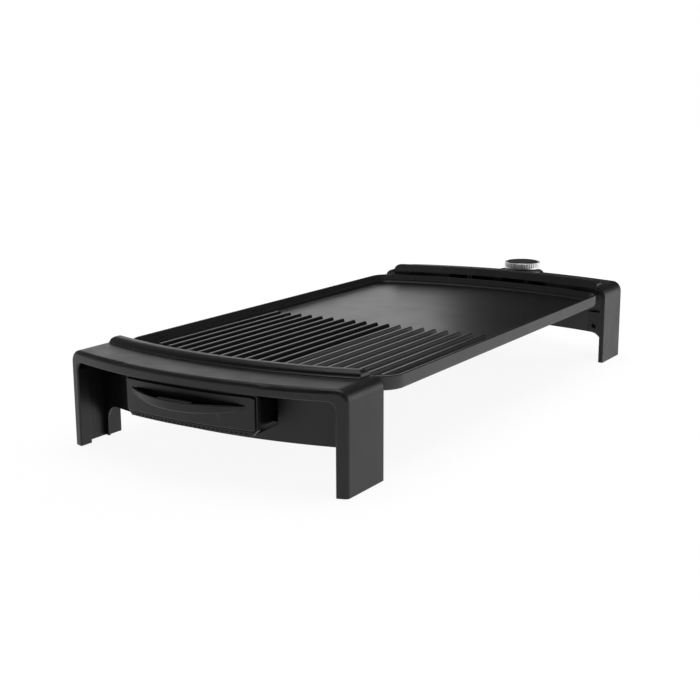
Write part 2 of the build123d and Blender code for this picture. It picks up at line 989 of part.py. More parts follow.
with BuildPart() as heating_element:
    element_line = element_route(element_end)
    with BuildSketch(Plane(origin=element_line @ 0, x_dir=(1, 0, 0), z_dir=(0, -1, 0))):
        RegularPolygon(element_radius, element_sides)
    sweep(path=element_line)
heating_element.part.label = "heating_element"

with BuildPart() as terminal_pins:
    for side in (-1, 1):
        add(cylinder_back(side * pin_x, element_height, pin_radius, element_end, pin_end))
    chamfer(terminal_pins.edges().group_by(Axis.Y)[-1], pin_radius / 3)
terminal_pins.part.label = "terminal_pins"

with BuildPart() as terminal_insulators:
    for side in (-1, 1):
        add(
            cylinder_back(
                side * pin_x, element_height, insulator_radius, element_end, element_end + insulator_length
            )
        )
        add(
            cylinder_back(
                side * pin_x, element_height, pin_radius, element_end, element_end + insulator_length
            ),
            mode=Mode.SUBTRACT,
        )
terminal_insulators.part.label = "terminal_insulators"

with BuildPart() as terminal_guard:
    guard_y = (guard_back, guard_front)
    guard_z = (guard_bottom, plate_bottom)
    flange_y = (guard_back, guard_back + 2 * (guard_screw_y - guard_back))
    add(slab((-guard_half_width, guard_half_width), guard_y, guard_z))
    add(
        slab(
            (-guard_half_width + guard_sheet, guard_half_width - guard_sheet),
            (guard_back + guard_sheet, guard_front + overlap),
            (guard_bottom + guard_sheet, plate_bottom + overlap),
        ),
        mode=Mode.SUBTRACT,
    )
    add(
        cylinder_back(0, element_height, probe_window, guard_back - overlap, guard_back + guard_sheet),
        mode=Mode.SUBTRACT,
    )
    for side in (-1, 1):
        add(
            cylinder_back(
                side * pin_x,
                element_height,
                insulator_radius + insulator_gap,
                guard_back - overlap,
                guard_back + guard_sheet,
            ),
            mode=Mode.SUBTRACT,
        )
        # Flange under the plate with its screw hole
        add(
            slab(
                (side * guard_half_width, side * (guard_half_width + guard_flange)),
                flange_y,
                (plate_bottom - guard_sheet, plate_bottom),
            )
        )
        add(
            post_up(
                side * guard_screw_x,
                guard_screw_y,
                small_screw_radius,
                plate_bottom - guard_sheet,
                plate_bottom,
            ),
            mode=Mode.SUBTRACT,
        )
terminal_guard.part.label = "terminal_guard"

with BuildPart() as guard_screws:
    guard_screw = screw(
        small_screw_radius, guard_sheet + guard_screw_grip, small_head_radius, small_head_height
    )
    for side in (-1, 1):
        with Locations(looking_down(side * guard_screw_x, guard_screw_y, plate_bottom - guard_sheet)):
            add(guard_screw)
guard_screws.part.label = "guard_screws"

with BuildPart() as plate_screws:
    plate_screw = screw(
        large_screw_radius, lug_top - thread_cover - shelf_bottom, large_head_radius, large_head_height
    )
    for end in (-1, 1):
        for side in (-1, 1):
            with Locations(looking_down(side * lug_x, end * plate_screw_y, shelf_bottom)):
                add(plate_screw)
plate_screws.part.label = "plate_screws"

with BuildPart() as frame_screws:
    frame_screw = screw(small_screw_radius, frame_screw_grip, small_head_radius, small_head_height)
    for end in (-1, 1):
        for x in frame_screw_xs:
            with Locations(looking_down(x, end * bow(frame_screw_apex, x), web_bottom)):
                add(frame_screw)
frame_screws.part.label = "frame_screws"

with BuildPart() as tray_cradle:
    # Face plate that closes the tunnel's end, with a window for the pan
    add(
        bowed_slab(
            cradle_apex,
            cradle_apex - cradle_sheet,
            cradle_face_half,
            tray_opening_bottom - tunnel_wall,
            web_bottom - cradle_face_drop,
        )
    )
    add(
        slab(
            (-cradle_inside, cradle_inside),
            (-cradle_apex, -cradle_back),
            (cradle_floor, pan_top + cradle_window_gap),
        ),
        mode=Mode.SUBTRACT,
    )
    # Channel that the pan slides in
    add(
        bowed_block(
            cradle_apex, cradle_outside, cradle_back, cradle_floor - cradle_sheet, cradle_floor
        )
    )
    for side in (-1, 1):
        add(
            slab(
                (side * cradle_inside, side * cradle_outside),
                (-bow(cradle_apex, cradle_outside), -cradle_back),
                (cradle_floor, cradle_top),
            )
        )
    add(
        slab(
            (-cradle_outside, cradle_outside),
            (-cradle_back - cradle_sheet, -cradle_back),
            (cradle_floor, cradle_top),
        )
    )
    for side in (-1, 1):
        with BuildSketch(cradle_post_end(side)):
            RegularPolygon(small_screw_radius, screw_sides)
        extrude(amount=cradle_sheet + overlap, mode=Mode.SUBTRACT)
tray_cradle.part.label = "tray_cradle"

with BuildPart() as cradle_screws:
    cradle_screw = screw(
        small_screw_radius, cradle_sheet + cradle_screw_grip, small_head_radius, small_head_height
    )
    for side in (-1, 1):
        with Locations(cradle_post_end(side).offset(cradle_sheet + seat_gap)):
            add(cradle_screw)
cradle_screws.part.label = "cradle_screws"

with BuildPart() as tray_pan:
    add(bowed_block(bezel_back, pan_half, pan_back, pan_bottom, pan_top))
    fillet(tray_pan.edges().filter_by(Axis.Z).group_by(Axis.Y)[-1], pan_corner)
    chamfer(tray_pan.edges().group_by(Axis.Z)[0], pan_bevel)
    with BuildPart(mode=Mode.PRIVATE) as pan_inside:
        add(
            bowed_block(
                bezel_back - pan_wall,
                pan_half - pan_wall,
                pan_back + pan_wall,
                pan_bottom + pan_wall,
                pan_top + overlap,
            )
        )
        fillet(pan_inside.edges().filter_by(Axis.Z).group_by(Axis.Y)[-1], pan_corner - pan_wall)
        chamfer(pan_inside.edges().group_by(Axis.Z)[0], pan_bevel - pan_wall / 2)
    add(pan_inside.part, mode=Mode.SUBTRACT)
    for side in (-1, 1):
        with BuildSketch(tray_seat(side)):
            RegularPolygon(small_screw_radius, screw_sides)
        extrude(amount=bezel_wall + pan_wall + overlap, mode=Mode.SUBTRACT)
tray_pan.part.label = "tray_pan"

with BuildPart() as tray_bezel:
    add(bowed_slab(bezel_apex, bezel_back, bezel_half, bezel_bottom, bezel_top))
    corner_edges = tray_bezel.edges().filter_by(Axis.Y)
    chamfer(corner_edges.group_by(Axis.Z)[0], bezel_cut)
    fillet(tray_bezel.edges().filter_by(Axis.Y).group_by(Axis.Z)[-1], tray_panel_corner)
    # Recess that the front sits in, with a narrow groove left round it
    with BuildPart(mode=Mode.PRIVATE) as recess:
        add(
            bowed_slab(
                stand_apex,
                panel_back,
                tray_panel_half + panel_gap,
                tray_panel_bottom - panel_gap,
                tray_panel_top + panel_gap,
            )
        )
        fillet(recess.edges().filter_by(Axis.Y), tray_panel_corner)
    add(recess.part, mode=Mode.SUBTRACT)
    # Row of notches along the strip below the front
    with BuildPart(mode=Mode.PRIVATE) as notches:
        with BuildSketch(facing_front(-bow(bezel_back, bezel_half))):
            with Locations((0, (bezel_bottom + tray_panel_bottom - panel_gap) / 2)):
                with GridLocations(notch_pitch, 0, notch_count, 1):
                    Rectangle(notch_width, notch_height)
        extrude(amount=clear)
        add(
            bowed_slab(stand_apex, bezel_apex - notch_depth, bezel_half, 0, tray_panel_bottom),
            mode=Mode.INTERSECT,
        )
    add(notches.part, mode=Mode.SUBTRACT)
    for side in (-1, 1):
        with BuildSketch(tray_seat(side)):
            RegularPolygon(small_screw_radius, screw_sides)
        extrude(amount=bezel_wall + overlap, mode=Mode.SUBTRACT)
tray_bezel.part.label = "tray_bezel"


def crescent(reach, root_apex, half_width, low, high):
    """Solid between a deep arc in front and the bowed line of the tray's front behind."""
    end_y = -bow(root_apex, half_width)
    with BuildPart() as block:
        with BuildSketch(level(low)):
            with BuildLine():
                ThreePointArc((-half_width, end_y), (0, -reach), (half_width, end_y))
                ThreePointArc((half_width, end_y), (0, -root_apex), (-half_width, end_y))
            make_face()
        extrude(amount=high - low)
    return block.part


def front_lens(half_width, end_low, mid_low, end_high, mid_high):
    """Solid whose outline from the front runs between a lower and an upper arc."""
    with BuildPart() as block:
        with BuildSketch(facing_front(-stand_back)):
            with BuildLine():
                ThreePointArc((-half_width, end_low), (0, mid_low), (half_width, end_low))
                Line((half_width, end_low), (half_width, end_high))
                ThreePointArc((half_width, end_high), (0, mid_high), (-half_width, end_high))
                Line((-half_width, end_high), (-half_width, end_low))
            make_face()
        extrude(amount=handle_reach - stand_back + overlap)
    return block.part


with BuildPart() as tray_front:
    add(bowed_slab(tray_apex, panel_back, tray_panel_half, tray_panel_bottom, tray_panel_top))
    fillet(tray_front.edges().filter_by(Axis.Y), tray_panel_corner)
    panel_face = tray_front.faces().sort_by(Axis.Y)[0]
    chamfer(panel_face.edges(), tray_panel_edge)
    # Crescent lip that the fingers pull on
    with BuildPart(mode=Mode.PRIVATE) as lip:
        add(crescent(handle_reach, tray_apex - tray_panel_wall / 2, lip_half, lip_bottom, lip_top))
        add(
            front_lens(lip_half, lip_end_bottom, lip_bottom, lip_top + overlap, lip_top + 2 * overlap),
            mode=Mode.INTERSECT,
        )
    add(lip.part)
    # Pocket behind the lip, open at the top and through the panel
    with BuildPart(mode=Mode.PRIVATE) as pocket:
        add(
            crescent(
                handle_reach - lip_wall, panel_back - overlap, pocket_half, lip_bottom, tray_panel_top
            )
        )
        add(
            front_lens(
                pocket_half, lip_end_bottom + lip_floor, lip_bottom + lip_floor, pocket_end_top, pocket_top
            ),
            mode=Mode.INTERSECT,
        )
    add(pocket.part, mode=Mode.SUBTRACT)
    # Grip rib along the inner edge of the lip
    add(
        slab(
            (-grip_half, grip_half),
            (-handle_reach + lip_wall - overlap, -handle_reach + lip_wall + grip_width),
            (lip_top + grip_rise - grip_height, lip_top + grip_rise),
        )
    )
    for side in (-1, 1):
        with BuildSketch(tray_seat(side).offset(overlap)):
            RegularPolygon(small_screw_radius, screw_sides)
        extrude(amount=-tray_screw_grip - overlap, mode=Mode.SUBTRACT)
tray_front.part.label = "tray_front"

with BuildPart() as tray_screws:
    tray_screw = screw(
        small_screw_radius, pan_wall + bezel_wall + tray_screw_grip, small_head_radius, small_head_height
    )
    for side in (-1, 1):
        with Locations(tray_seat(side).offset(bezel_wall + pan_wall)):
            add(tray_screw)
tray_screws.part.label = "tray_screws"


def housing_form(inset):
    """Solid of the thermostat's outside, or of its hollow when drawn in by an inset."""
    half = housing_half - inset
    front = housing_front + inset
    with BuildPart() as form:
        with BuildSketch(level(housing_bottom + inset)):
            with Locations((0, (front + housing_centre) / 2)):
                Rectangle(2 * half, housing_centre - front)
            with Locations((0, housing_centre)):
                Circle(half)
        extrude(amount=housing_top - housing_bottom - 2 * inset)
        add(
            slab(
                (-housing_half, housing_half),
                (front, housing_step + inset),
                (housing_low_top - inset, housing_top),
            ),
            mode=Mode.SUBTRACT,
        )
        if inset == 0:
            chamfer(form.edges().group_by(Axis.Z)[-1], housing_edge)
            chamfer(form.edges().group_by(Axis.Z)[0], housing_edge)
    return form.part


def housing_shell():
    """Hollow housing of the thermostat before it is split into base and cover."""
    with BuildPart() as shell:
        add(housing_form(0))
        add(housing_form(housing_wall), mode=Mode.SUBTRACT)
        for x, y in housing_posts:
            add(post_up(x, y, housing_post_radius, housing_bottom, housing_low_top - housing_wall))
        # Opening for the connector block
        add(
            slab(
                (-block_half - block_gap, block_half + block_gap),
                (housing_front - overlap, housing_front + housing_wall),
                (block_bottom - block_gap, block_top + block_gap),
            ),
            mode=Mode.SUBTRACT,
        )
        # Seat of the cord gland
        add(cylinder_back(0, gland_height, gland_collar, gland_seat, thermostat_reach), mode=Mode.SUBTRACT)
        add(cylinder_back(0, gland_height, gland_radius, gland_start, gland_seat), mode=Mode.SUBTRACT)
    return shell.part


with BuildPart() as thermostat_base:
    add(housing_shell())
    add(
        slab(
            (-clear, clear),
            (housing_front - clear, thermostat_reach + clear),
            (housing_split, housing_top + overlap),
        ),
        mode=Mode.SUBTRACT,
    )
    seat_z = housing_bottom + small_head_height
    for x, y in housing_posts:
        add(
            post_up(x, y, small_screw_radius + screw_clearance, housing_bottom, housing_split),
            mode=Mode.SUBTRACT,
        )
        add(
            post_up(x, y, small_head_radius + housing_head_gap, housing_bottom, seat_z),
            mode=Mode.SUBTRACT,
        )
thermostat_base.part.label = "thermostat_base"

with BuildPart() as thermostat_cover:
    add(housing_shell())
    add(
        slab(
            (-clear, clear),
            (housing_front - clear, thermostat_reach + clear),
            (housing_bottom - overlap, housing_split),
        ),
        mode=Mode.SUBTRACT,
    )
    # Collar under the knob
    add(cylinder_up(0, knob_y, collar_radius, housing_top - housing_wall, collar_top))
    add(
        cylinder_up(0, knob_y, shaft_radius + shaft_gap, housing_top - housing_wall, collar_top),
        mode=Mode.SUBTRACT,
    )
    add(cylinder_back(0, lens_height, lens_radius, housing_centre, thermostat_reach), mode=Mode.SUBTRACT)
    for x, y in housing_posts:
        add(
            post_up(x, y, small_screw_radius, housing_split, seat_z + housing_grip),
            mode=Mode.SUBTRACT,
        )
thermostat_cover.part.label = "thermostat_cover"

with BuildPart() as housing_screws:
    housing_screw = screw(small_screw_radius, housing_grip, small_head_radius, small_head_height)
    for x, y in housing_posts:
        with Locations(looking_down(x, y, seat_z)):
            add(housing_screw)
housing_screws.part.label = "housing_screws"

with BuildPart() as connector_block:
    add(slab((-block_half, block_half), (block_front, block_back), (block_bottom, block_top)))
    fillet(connector_block.edges().filter_by(Axis.Y), block_corner)
    add(
        cylinder_back(0, element_height, probe_radius, block_front, block_back),
        mode=Mode.SUBTRACT,
    )
    for side in (-1, 1):
        add(
            cylinder_back(side * pin_x, element_height, contact_radius, block_front, block_back),
            mode=Mode.SUBTRACT,
        )
connector_block.part.label = "connector_block"

with BuildPart() as socket_contacts:
    for side in (-1, 1):
        add(cylinder_back(side * pin_x, element_height, contact_radius, socket_front, block_back))
        add(
            cylinder_back(
                side * pin_x, element_height, pin_radius + socket_bore_gap, socket_front, block_back
            ),
            mode=Mode.SUBTRACT,
        )
socket_contacts.part.label = "socket_contacts"

with BuildPart() as probe_rod:
    add(cylinder_back(0, element_height, probe_radius, probe_tip, probe_end))
    chamfer(probe_rod.edges().group_by(Axis.Y)[0], probe_radius / 2)
probe_rod.part.label = "probe_rod"

with BuildPart() as switch_block:
    add(slab((-switch_half, switch_half), (switch_front, switch_back), (switch_bottom, switch_top)))
    chamfer(switch_block.edges().filter_by(Axis.Z), contact_thickness)
switch_block.part.label = "switch_block"

with BuildPart() as contact_strips:
    strip_z = (element_height - contact_width / 2, element_height + contact_width / 2 - fit_gap)
    strip_inner = pin_x - contact_radius
    strip_outer = strip_inner + contact_thickness
    for side in (-1, 1):
        add(slab((side * strip_inner, side * strip_outer), (block_back, contact_end), strip_z))
        add(
            slab(
                (side * switch_half, side * strip_outer),
                (contact_end - contact_thickness, contact_end),
                strip_z,
            )
        )
contact_strips.part.label = "contact_strips"

with BuildPart() as indicator_lens:
    add(cylinder_back(0, lens_height, lens_radius, lens_front, lens_back))
    chamfer(indicator_lens.edges().group_by(Axis.Y)[-1], lens_bevel)
indicator_lens.part.label = "indicator_lens"

with BuildPart() as indicator_lamp:
    add(cylinder_back(0, lens_height, lamp_radius, lens_front - lamp_length, lens_front))
    chamfer(indicator_lamp.edges().group_by(Axis.Y)[0], lens_bevel)
indicator_lamp.part.label = "indicator_lamp"

with BuildPart() as cord_gland:
    add(cylinder_back(0, gland_height, gland_radius, gland_start, gland_seat))
    add(cylinder_back(0, gland_height, gland_collar, gland_seat, thermostat_reach))
    chamfer(cord_gland.edges().group_by(Axis.Y)[-1], lens_bevel)
    add(
        cylinder_back(0, gland_height, gland_bore, gland_start, thermostat_reach),
        mode=Mode.SUBTRACT,
    )
cord_gland.part.label = "cord_gland"

with BuildPart() as knob_shaft:
    add(cylinder_up(0, knob_y, shaft_radius, switch_top + fit_gap, knob_top - knob_sheet))
knob_shaft.part.label = "knob_shaft"

with BuildPart() as knob_ring:
    add(cylinder_up(0, knob_y, knob_radius, knob_bottom, knob_ring_top))
    # Flutes round the outside, as three-sided notches
    with BuildSketch(level(knob_bottom)):
        with Locations((0, knob_y)):
            with PolarLocations(knob_radius, knob_flutes):
                Polygon(
                    (knob_flute_depth, -knob_flute_width),
                    (knob_flute_depth, knob_flute_width),
                    (-knob_flute_depth, 0),
                    align=None,
                )
    extrude(amount=knob_ring_top - knob_bottom, mode=Mode.SUBTRACT)
    add(
        cylinder_up(0, knob_y, knob_face_radius, knob_bottom, knob_ring_top),
        mode=Mode.SUBTRACT,
    )
knob_ring.part.label = "knob_ring"

with BuildPart() as knob_cap:
    add(cylinder_up(0, knob_y, knob_face_radius, knob_bottom, knob_top))
    chamfer(knob_cap.edges().group_by(Axis.Z)[-1], knob_edge)
    add(
        cylinder_up(0, knob_y, knob_face_radius - knob_sheet, knob_bottom, knob_top - knob_sheet),
        mode=Mode.SUBTRACT,
    )
    add(cylinder_up(0, knob_y, hub_radius, knob_bottom, knob_top - knob_sheet))
    add(
        cylinder_up(0, knob_y, shaft_radius, knob_bottom, knob_top - knob_sheet),
        mode=Mode.SUBTRACT,
    )
    # Pointer groove
    pointer_end = knob_y + knob_face_radius - knob_sheet
    add(
        slab(
            (-pointer_width / 2, pointer_width / 2),
            (pointer_end - pointer_length, pointer_end),
            (knob_top - pointer_depth, knob_top + overlap),
        ),
        mode=Mode.SUBTRACT,
    )
knob_cap.part.label = "knob_cap"

export_step(front_stand.part, "parts/front_stand.step")
export_step(rear_stand.part, "parts/rear_stand.step")
export_step(front_frame.part, "parts/front_frame.step")
export_step(rear_frame.part, "parts/rear_frame.step")
export_step(grill_plate.part, "parts/grill_plate.step")
export_step(heating_element.part, "parts/heating_element.step")
export_step(terminal_pins.part, "parts/terminal_pins.step")
export_step(terminal_insulators.part, "parts/terminal_insulators.step")
export_step(terminal_guard.part, "parts/terminal_guard.step")
export_step(guard_screws.part, "parts/guard_screws.step")
export_step(plate_screws.part, "parts/plate_screws.step")
export_step(frame_screws.part, "parts/frame_screws.step")
export_step(tray_cradle.part, "parts/tray_cradle.step")
export_step(cradle_screws.part, "parts/cradle_screws.step")
export_step(tray_pan.part, "parts/tray_pan.step")
export_step(tray_bezel.part, "parts/tray_bezel.step")
export_step(tray_front.part, "parts/tray_front.step")
export_step(tray_screws.part, "parts/tray_screws.step")
export_step(thermostat_base.part, "parts/thermostat_base.step")
export_step(thermostat_cover.part, "parts/thermostat_cover.step")
export_step(housing_screws.part, "parts/housing_screws.step")
export_step(connector_block.part, "parts/connector_block.step")
export_step(socket_contacts.part, "parts/socket_contacts.step")
export_step(probe_rod.part, "parts/probe_rod.step")
export_step(switch_block.part, "parts/switch_block.step")
export_step(contact_strips.part, "parts/contact_strips.step")
export_step(indicator_lens.part, "parts/indicator_lens.step")
export_step(indicator_lamp.part, "parts/indicator_lamp.step")
export_step(cord_gland.part, "parts/cord_gland.step")
export_step(knob_shaft.part, "parts/knob_shaft.step")
export_step(knob_ring.part, "parts/knob_ring.step")
export_step(knob_cap.part, "parts/knob_cap.step")
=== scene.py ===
import bmesh
import bpy
from math import cos, pi, radians, sqrt
from mathutils import Matrix, Vector


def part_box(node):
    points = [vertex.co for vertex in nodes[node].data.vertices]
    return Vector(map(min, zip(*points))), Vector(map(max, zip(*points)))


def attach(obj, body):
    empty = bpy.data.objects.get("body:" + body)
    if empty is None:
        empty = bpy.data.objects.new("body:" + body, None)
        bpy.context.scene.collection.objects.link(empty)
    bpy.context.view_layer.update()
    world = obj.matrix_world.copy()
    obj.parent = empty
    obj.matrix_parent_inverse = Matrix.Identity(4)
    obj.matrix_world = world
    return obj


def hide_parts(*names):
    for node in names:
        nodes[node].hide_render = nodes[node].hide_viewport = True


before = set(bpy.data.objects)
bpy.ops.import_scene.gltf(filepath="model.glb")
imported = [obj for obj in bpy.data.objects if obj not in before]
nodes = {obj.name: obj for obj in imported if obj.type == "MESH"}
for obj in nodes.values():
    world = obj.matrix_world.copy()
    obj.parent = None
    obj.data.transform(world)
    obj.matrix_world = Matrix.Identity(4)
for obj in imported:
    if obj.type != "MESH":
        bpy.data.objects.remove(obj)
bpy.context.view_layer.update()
print("frame loaded with", len(nodes), "nodes")


# Ways to build node trees

def newGroup(name, inputs, outputs):
    group = bpy.data.node_groups.new(name, "ShaderNodeTree")
    for label, kind, value in inputs:
        socket = group.interface.new_socket(name=label, in_out="INPUT", socket_type=kind)
        socket.default_value = value
    for label, kind in outputs:
        group.interface.new_socket(name=label, in_out="OUTPUT", socket_type=kind)
    return group


def addNode(tree, kind, links=None, **values):
    node = tree.nodes.new(kind)
    for key, value in values.items():
        setattr(node, key, value)
    for socket, source in (links or {}).items():
        if isinstance(source, bpy.types.NodeSocket):
            tree.links.new(source, node.inputs[socket])
        else:
            node.inputs[socket].default_value = source
    return node


def addMath(tree, operation, first, second):
    return addNode(tree, "ShaderNodeMath", {0: first, 1: second}, operation=operation).outputs[0]


def addShare(tree, base, extra, share):
    # a value with a share of another one added to it
    return addMath(tree, "ADD", base, addMath(tree, "MULTIPLY", extra, share))


def addNoise(tree, place, scale, detail):
    links = {"Vector": place, "Scale": scale, "Detail": detail}
    return addNode(tree, "ShaderNodeTexNoise", links).outputs[0]


def mapRange(tree, value, given, wanted=(0.0, 1.0), **values):
    # carries a value from the given range to the wanted one and holds it at the ends
    links = {
        "Value": value, "From Min": given[0], "From Max": given[1],
        "To Min": wanted[0], "To Max": wanted[1],
    }
    return addNode(tree, "ShaderNodeMapRange", links, **values).outputs[0]


def mixColours(tree, factor, first, second):
    # the colour sockets of a Mix node come after its value and vector sockets
    mix = addNode(tree, "ShaderNodeMix", {0: factor, 6: first, 7: second}, data_type="RGBA")
    return mix.outputs[2]


def closeGroup(group, results):
    out = group.nodes.new("NodeGroupOutput")
    for label, source in results.items():
        group.links.new(source, out.inputs[label])
    return group


# Shared effects, as node groups

wearAndHighlightRule = {
    "patchScale": 60.0, "patchDetail": 4.0, "samples": 6,
    "turnRange": (0.995, 0.88), "patchRange": (0.35, 0.7), "patchWear": (0.2, 1.0),
}


def buildEdgeWearAndHighlight():
    # rounds sharp edges in the shading, and finds the sharp edges and the patches where hands and cloths rub;
    # the lighter colour given there is partly real wear and partly a painted highlight along the edges
    rule = wearAndHighlightRule
    group = newGroup(
        "edgeWearAndHighlight",
        [("Radius", "NodeSocketFloat", 0.0004), ("Amount", "NodeSocketFloat", 0.3)],
        [("Mask", "NodeSocketFloat"), ("Normal", "NodeSocketVector")],
    )
    given = group.nodes.new("NodeGroupInput").outputs
    place = addNode(group, "ShaderNodeTexCoord").outputs["Object"]
    patches = addNoise(group, place, rule["patchScale"], rule["patchDetail"])
    rounded = addNode(group, "ShaderNodeBevel", {"Radius": given["Radius"]}, samples=rule["samples"])
    flat = addNode(group, "ShaderNodeNewGeometry").outputs["Normal"]
    turn = addNode(group, "ShaderNodeVectorMath", {0: rounded.outputs[0], 1: flat}, operation="DOT_PRODUCT")
    edge = mapRange(group, turn.outputs["Value"], rule["turnRange"])
    rubbed = mapRange(group, patches, rule["patchRange"], rule["patchWear"])
    wornAndHighlight = addMath(group, "MULTIPLY", edge, rubbed)
    # this mask is partly edge wear and partly a painted highlight line along every sharp edge
    wearAndHighlightMask = addMath(group, "MULTIPLY", wornAndHighlight, given["Amount"])
    return closeGroup(group, {"Mask": wearAndHighlightMask, "Normal": rounded.outputs[0]})


def newGrainGroup(name, scale, *others):
    return newGroup(
        name,
        [("Scale", "NodeSocketFloat", scale), *others],
        [("Height", "NodeSocketFloat"), ("Tone", "NodeSocketFloat")],
    )


mouldRule = {
    "dustBy": 2.3, "dustDetail": 2.0, "dustShare": 0.6,
    "grainShare": 0.5, "broadScale": 45.0, "broadDetail": 3.0,
}


def buildMouldGrain():
    # spark-eroded mould texture: small rounded grains with a finer roughness between them
    rule = mouldRule
    group = newGrainGroup("mouldGrain", 1800.0)
    given = group.nodes.new("NodeGroupInput").outputs
    place = addNode(group, "ShaderNodeTexCoord").outputs["Object"]
    links = {"Vector": place, "Scale": given["Scale"]}
    grains = addNode(group, "ShaderNodeTexVoronoi", links, feature="SMOOTH_F1").outputs["Distance"]
    finer = addMath(group, "MULTIPLY", given["Scale"], rule["dustBy"])
    dust = addNoise(group, place, finer, rule["dustDetail"])
    broad = addNoise(group, place, rule["broadScale"], rule["broadDetail"])
    height = addShare(group, grains, dust, rule["dustShare"])
    tone = addShare(group, broad, grains, rule["grainShare"])
    return closeGroup(group, {"Height": height, "Tone": tone})


castRule = {
    "peelDetail": 3.0, "fleckBy": 1.7, "fleckRange": (0.05, 0.25), "fleckLift": 0.15, "fleckTone": 0.5,
    "broadScale": 22.0, "broadDetail": 4.0,
}


def buildCastCoating():
    # sprayed non-stick coating: soft orange peel with fine flecks
    rule = castRule
    group = newGrainGroup("castCoating", 700.0)
    given = group.nodes.new("NodeGroupInput").outputs
    place = addNode(group, "ShaderNodeTexCoord").outputs["Object"]
    peel = addNoise(group, place, given["Scale"], rule["peelDetail"])
    finer = addMath(group, "MULTIPLY", given["Scale"], rule["fleckBy"])
    cells = addNode(group, "ShaderNodeTexVoronoi", {"Vector": place, "Scale": finer})
    flecks = mapRange(group, cells.outputs["Distance"], rule["fleckRange"], (1.0, 0.0))
    broad = addNoise(group, place, rule["broadScale"], rule["broadDetail"])
    height = addShare(group, peel, flecks, rule["fleckLift"])
    tone = addShare(group, broad, flecks, rule["fleckTone"])
    return closeGroup(group, {"Height": height, "Tone": tone})


drawnRule = {"lineDetail": 4.0, "lineShare": 0.4, "stainScale": 55.0, "stainDetail": 5.0}


def buildDrawnMetal():
    # fine lines left by drawing, rolling or turning, along a chosen direction
    rule = drawnRule
    group = newGrainGroup("drawnMetal", 900.0, ("Stretch", "NodeSocketVector", (1.0, 0.05, 1.0)))
    given = group.nodes.new("NodeGroupInput").outputs
    place = addNode(group, "ShaderNodeTexCoord").outputs["Object"]
    along = addNode(group, "ShaderNodeVectorMath", {0: place, 1: given["Stretch"]}, operation="MULTIPLY")
    lines = addNoise(group, along.outputs[0], given["Scale"], rule["lineDetail"])
    stains = addNoise(group, place, rule["stainScale"], rule["stainDetail"])
    tone = addShare(group, stains, lines, rule["lineShare"])
    return closeGroup(group, {"Height": lines, "Tone": tone})


edgeWearAndHighlight = buildEdgeWearAndHighlight()
grainGroups = {"mould": buildMouldGrain(), "cast": buildCastCoating(), "drawn": buildDrawnMetal()}


# Finishes, one for each material of the object

finishRule = {"toneRange": (0.3, 1.0), "uprightRange": (0.35, 0.85)}


def makeFinish(name, look):
    rule = finishRule
    material = bpy.data.materials.new(name)
    material.use_nodes = True
    tree = material.node_tree
    shader = tree.nodes["Principled BSDF"]
    grainGroup = grainGroups[look["grain"]]
    grain = addNode(tree, "ShaderNodeGroup", {"Scale": look["grainScale"]}, node_tree=grainGroup)
    if "stretch" in look:
        grain.inputs["Stretch"].default_value = look["stretch"]
    links = {"Radius": look["edgeRadius"], "Amount": look["wearAndHighlight"]}
    wearAndHighlight = addNode(tree, "ShaderNodeGroup", links, node_tree=edgeWearAndHighlight)
    # the tone moves the colour and the gloss up and down a little
    tone = mapRange(tree, grain.outputs["Tone"], rule["toneRange"])
    surface = mixColours(tree, tone, (*look["dark"], 1.0), (*look["light"], 1.0))
    # sharp edges take a lighter colour: partly wear, partly a painted highlight along the edges
    colour = mixColours(tree, wearAndHighlight.outputs["Mask"], surface, (*look["wornAndHighlight"], 1.0))
    gloss = mapRange(tree, tone, (0.0, 1.0), look["roughness"])
    if "uprightRoughness" in look:
        # rib sides and walls keep the matt coating, while what faces up is rubbed smooth
        upwards = addNode(tree, "ShaderNodeSeparateXYZ", {0: wearAndHighlight.outputs["Normal"]}).outputs["Z"]
        level = mapRange(tree, upwards, rule["uprightRange"])
        links = {0: level, 2: look["uprightRoughness"], 3: gloss}
        gloss = addNode(tree, "ShaderNodeMix", links, data_type="FLOAT").outputs[0]
    links = {
        "Strength": look["bump"], "Distance": look["depth"],
        "Height": grain.outputs["Height"], "Normal": wearAndHighlight.outputs["Normal"],
    }
    bump = addNode(tree, "ShaderNodeBump", links)
    tree.links.new(colour, shader.inputs["Base Color"])
    tree.links.new(gloss, shader.inputs["Roughness"])
    tree.links.new(bump.outputs[0], shader.inputs["Normal"])
    for socket, value in look.get("fixed", {}).items():
        shader.inputs[socket].default_value = value
    return material


def grey(level):
    return (level, level, level)


# each finish's lighter edge colour is partly wear and partly a painted highlight
mouldedPlastic = {
    "grain": "mould", "grainScale": 1300.0, "edgeRadius": 0.0008, "wearAndHighlight": 0.8, "wornAndHighlight": grey(0.09),
    "bump": 0.5, "depth": 0.00012, "roughness": (0.34, 0.46), "fixed": {"Specular IOR Level": 0.4},
}
drawnSteel = {
    "grain": "drawn", "grainScale": 900.0, "stretch": (1.0, 0.05, 1.0), "edgeRadius": 0.00025, "wearAndHighlight": 0.4,
    "bump": 0.25, "depth": 0.00005, "roughness": (0.22, 0.42), "fixed": {"Metallic": 1.0},
}

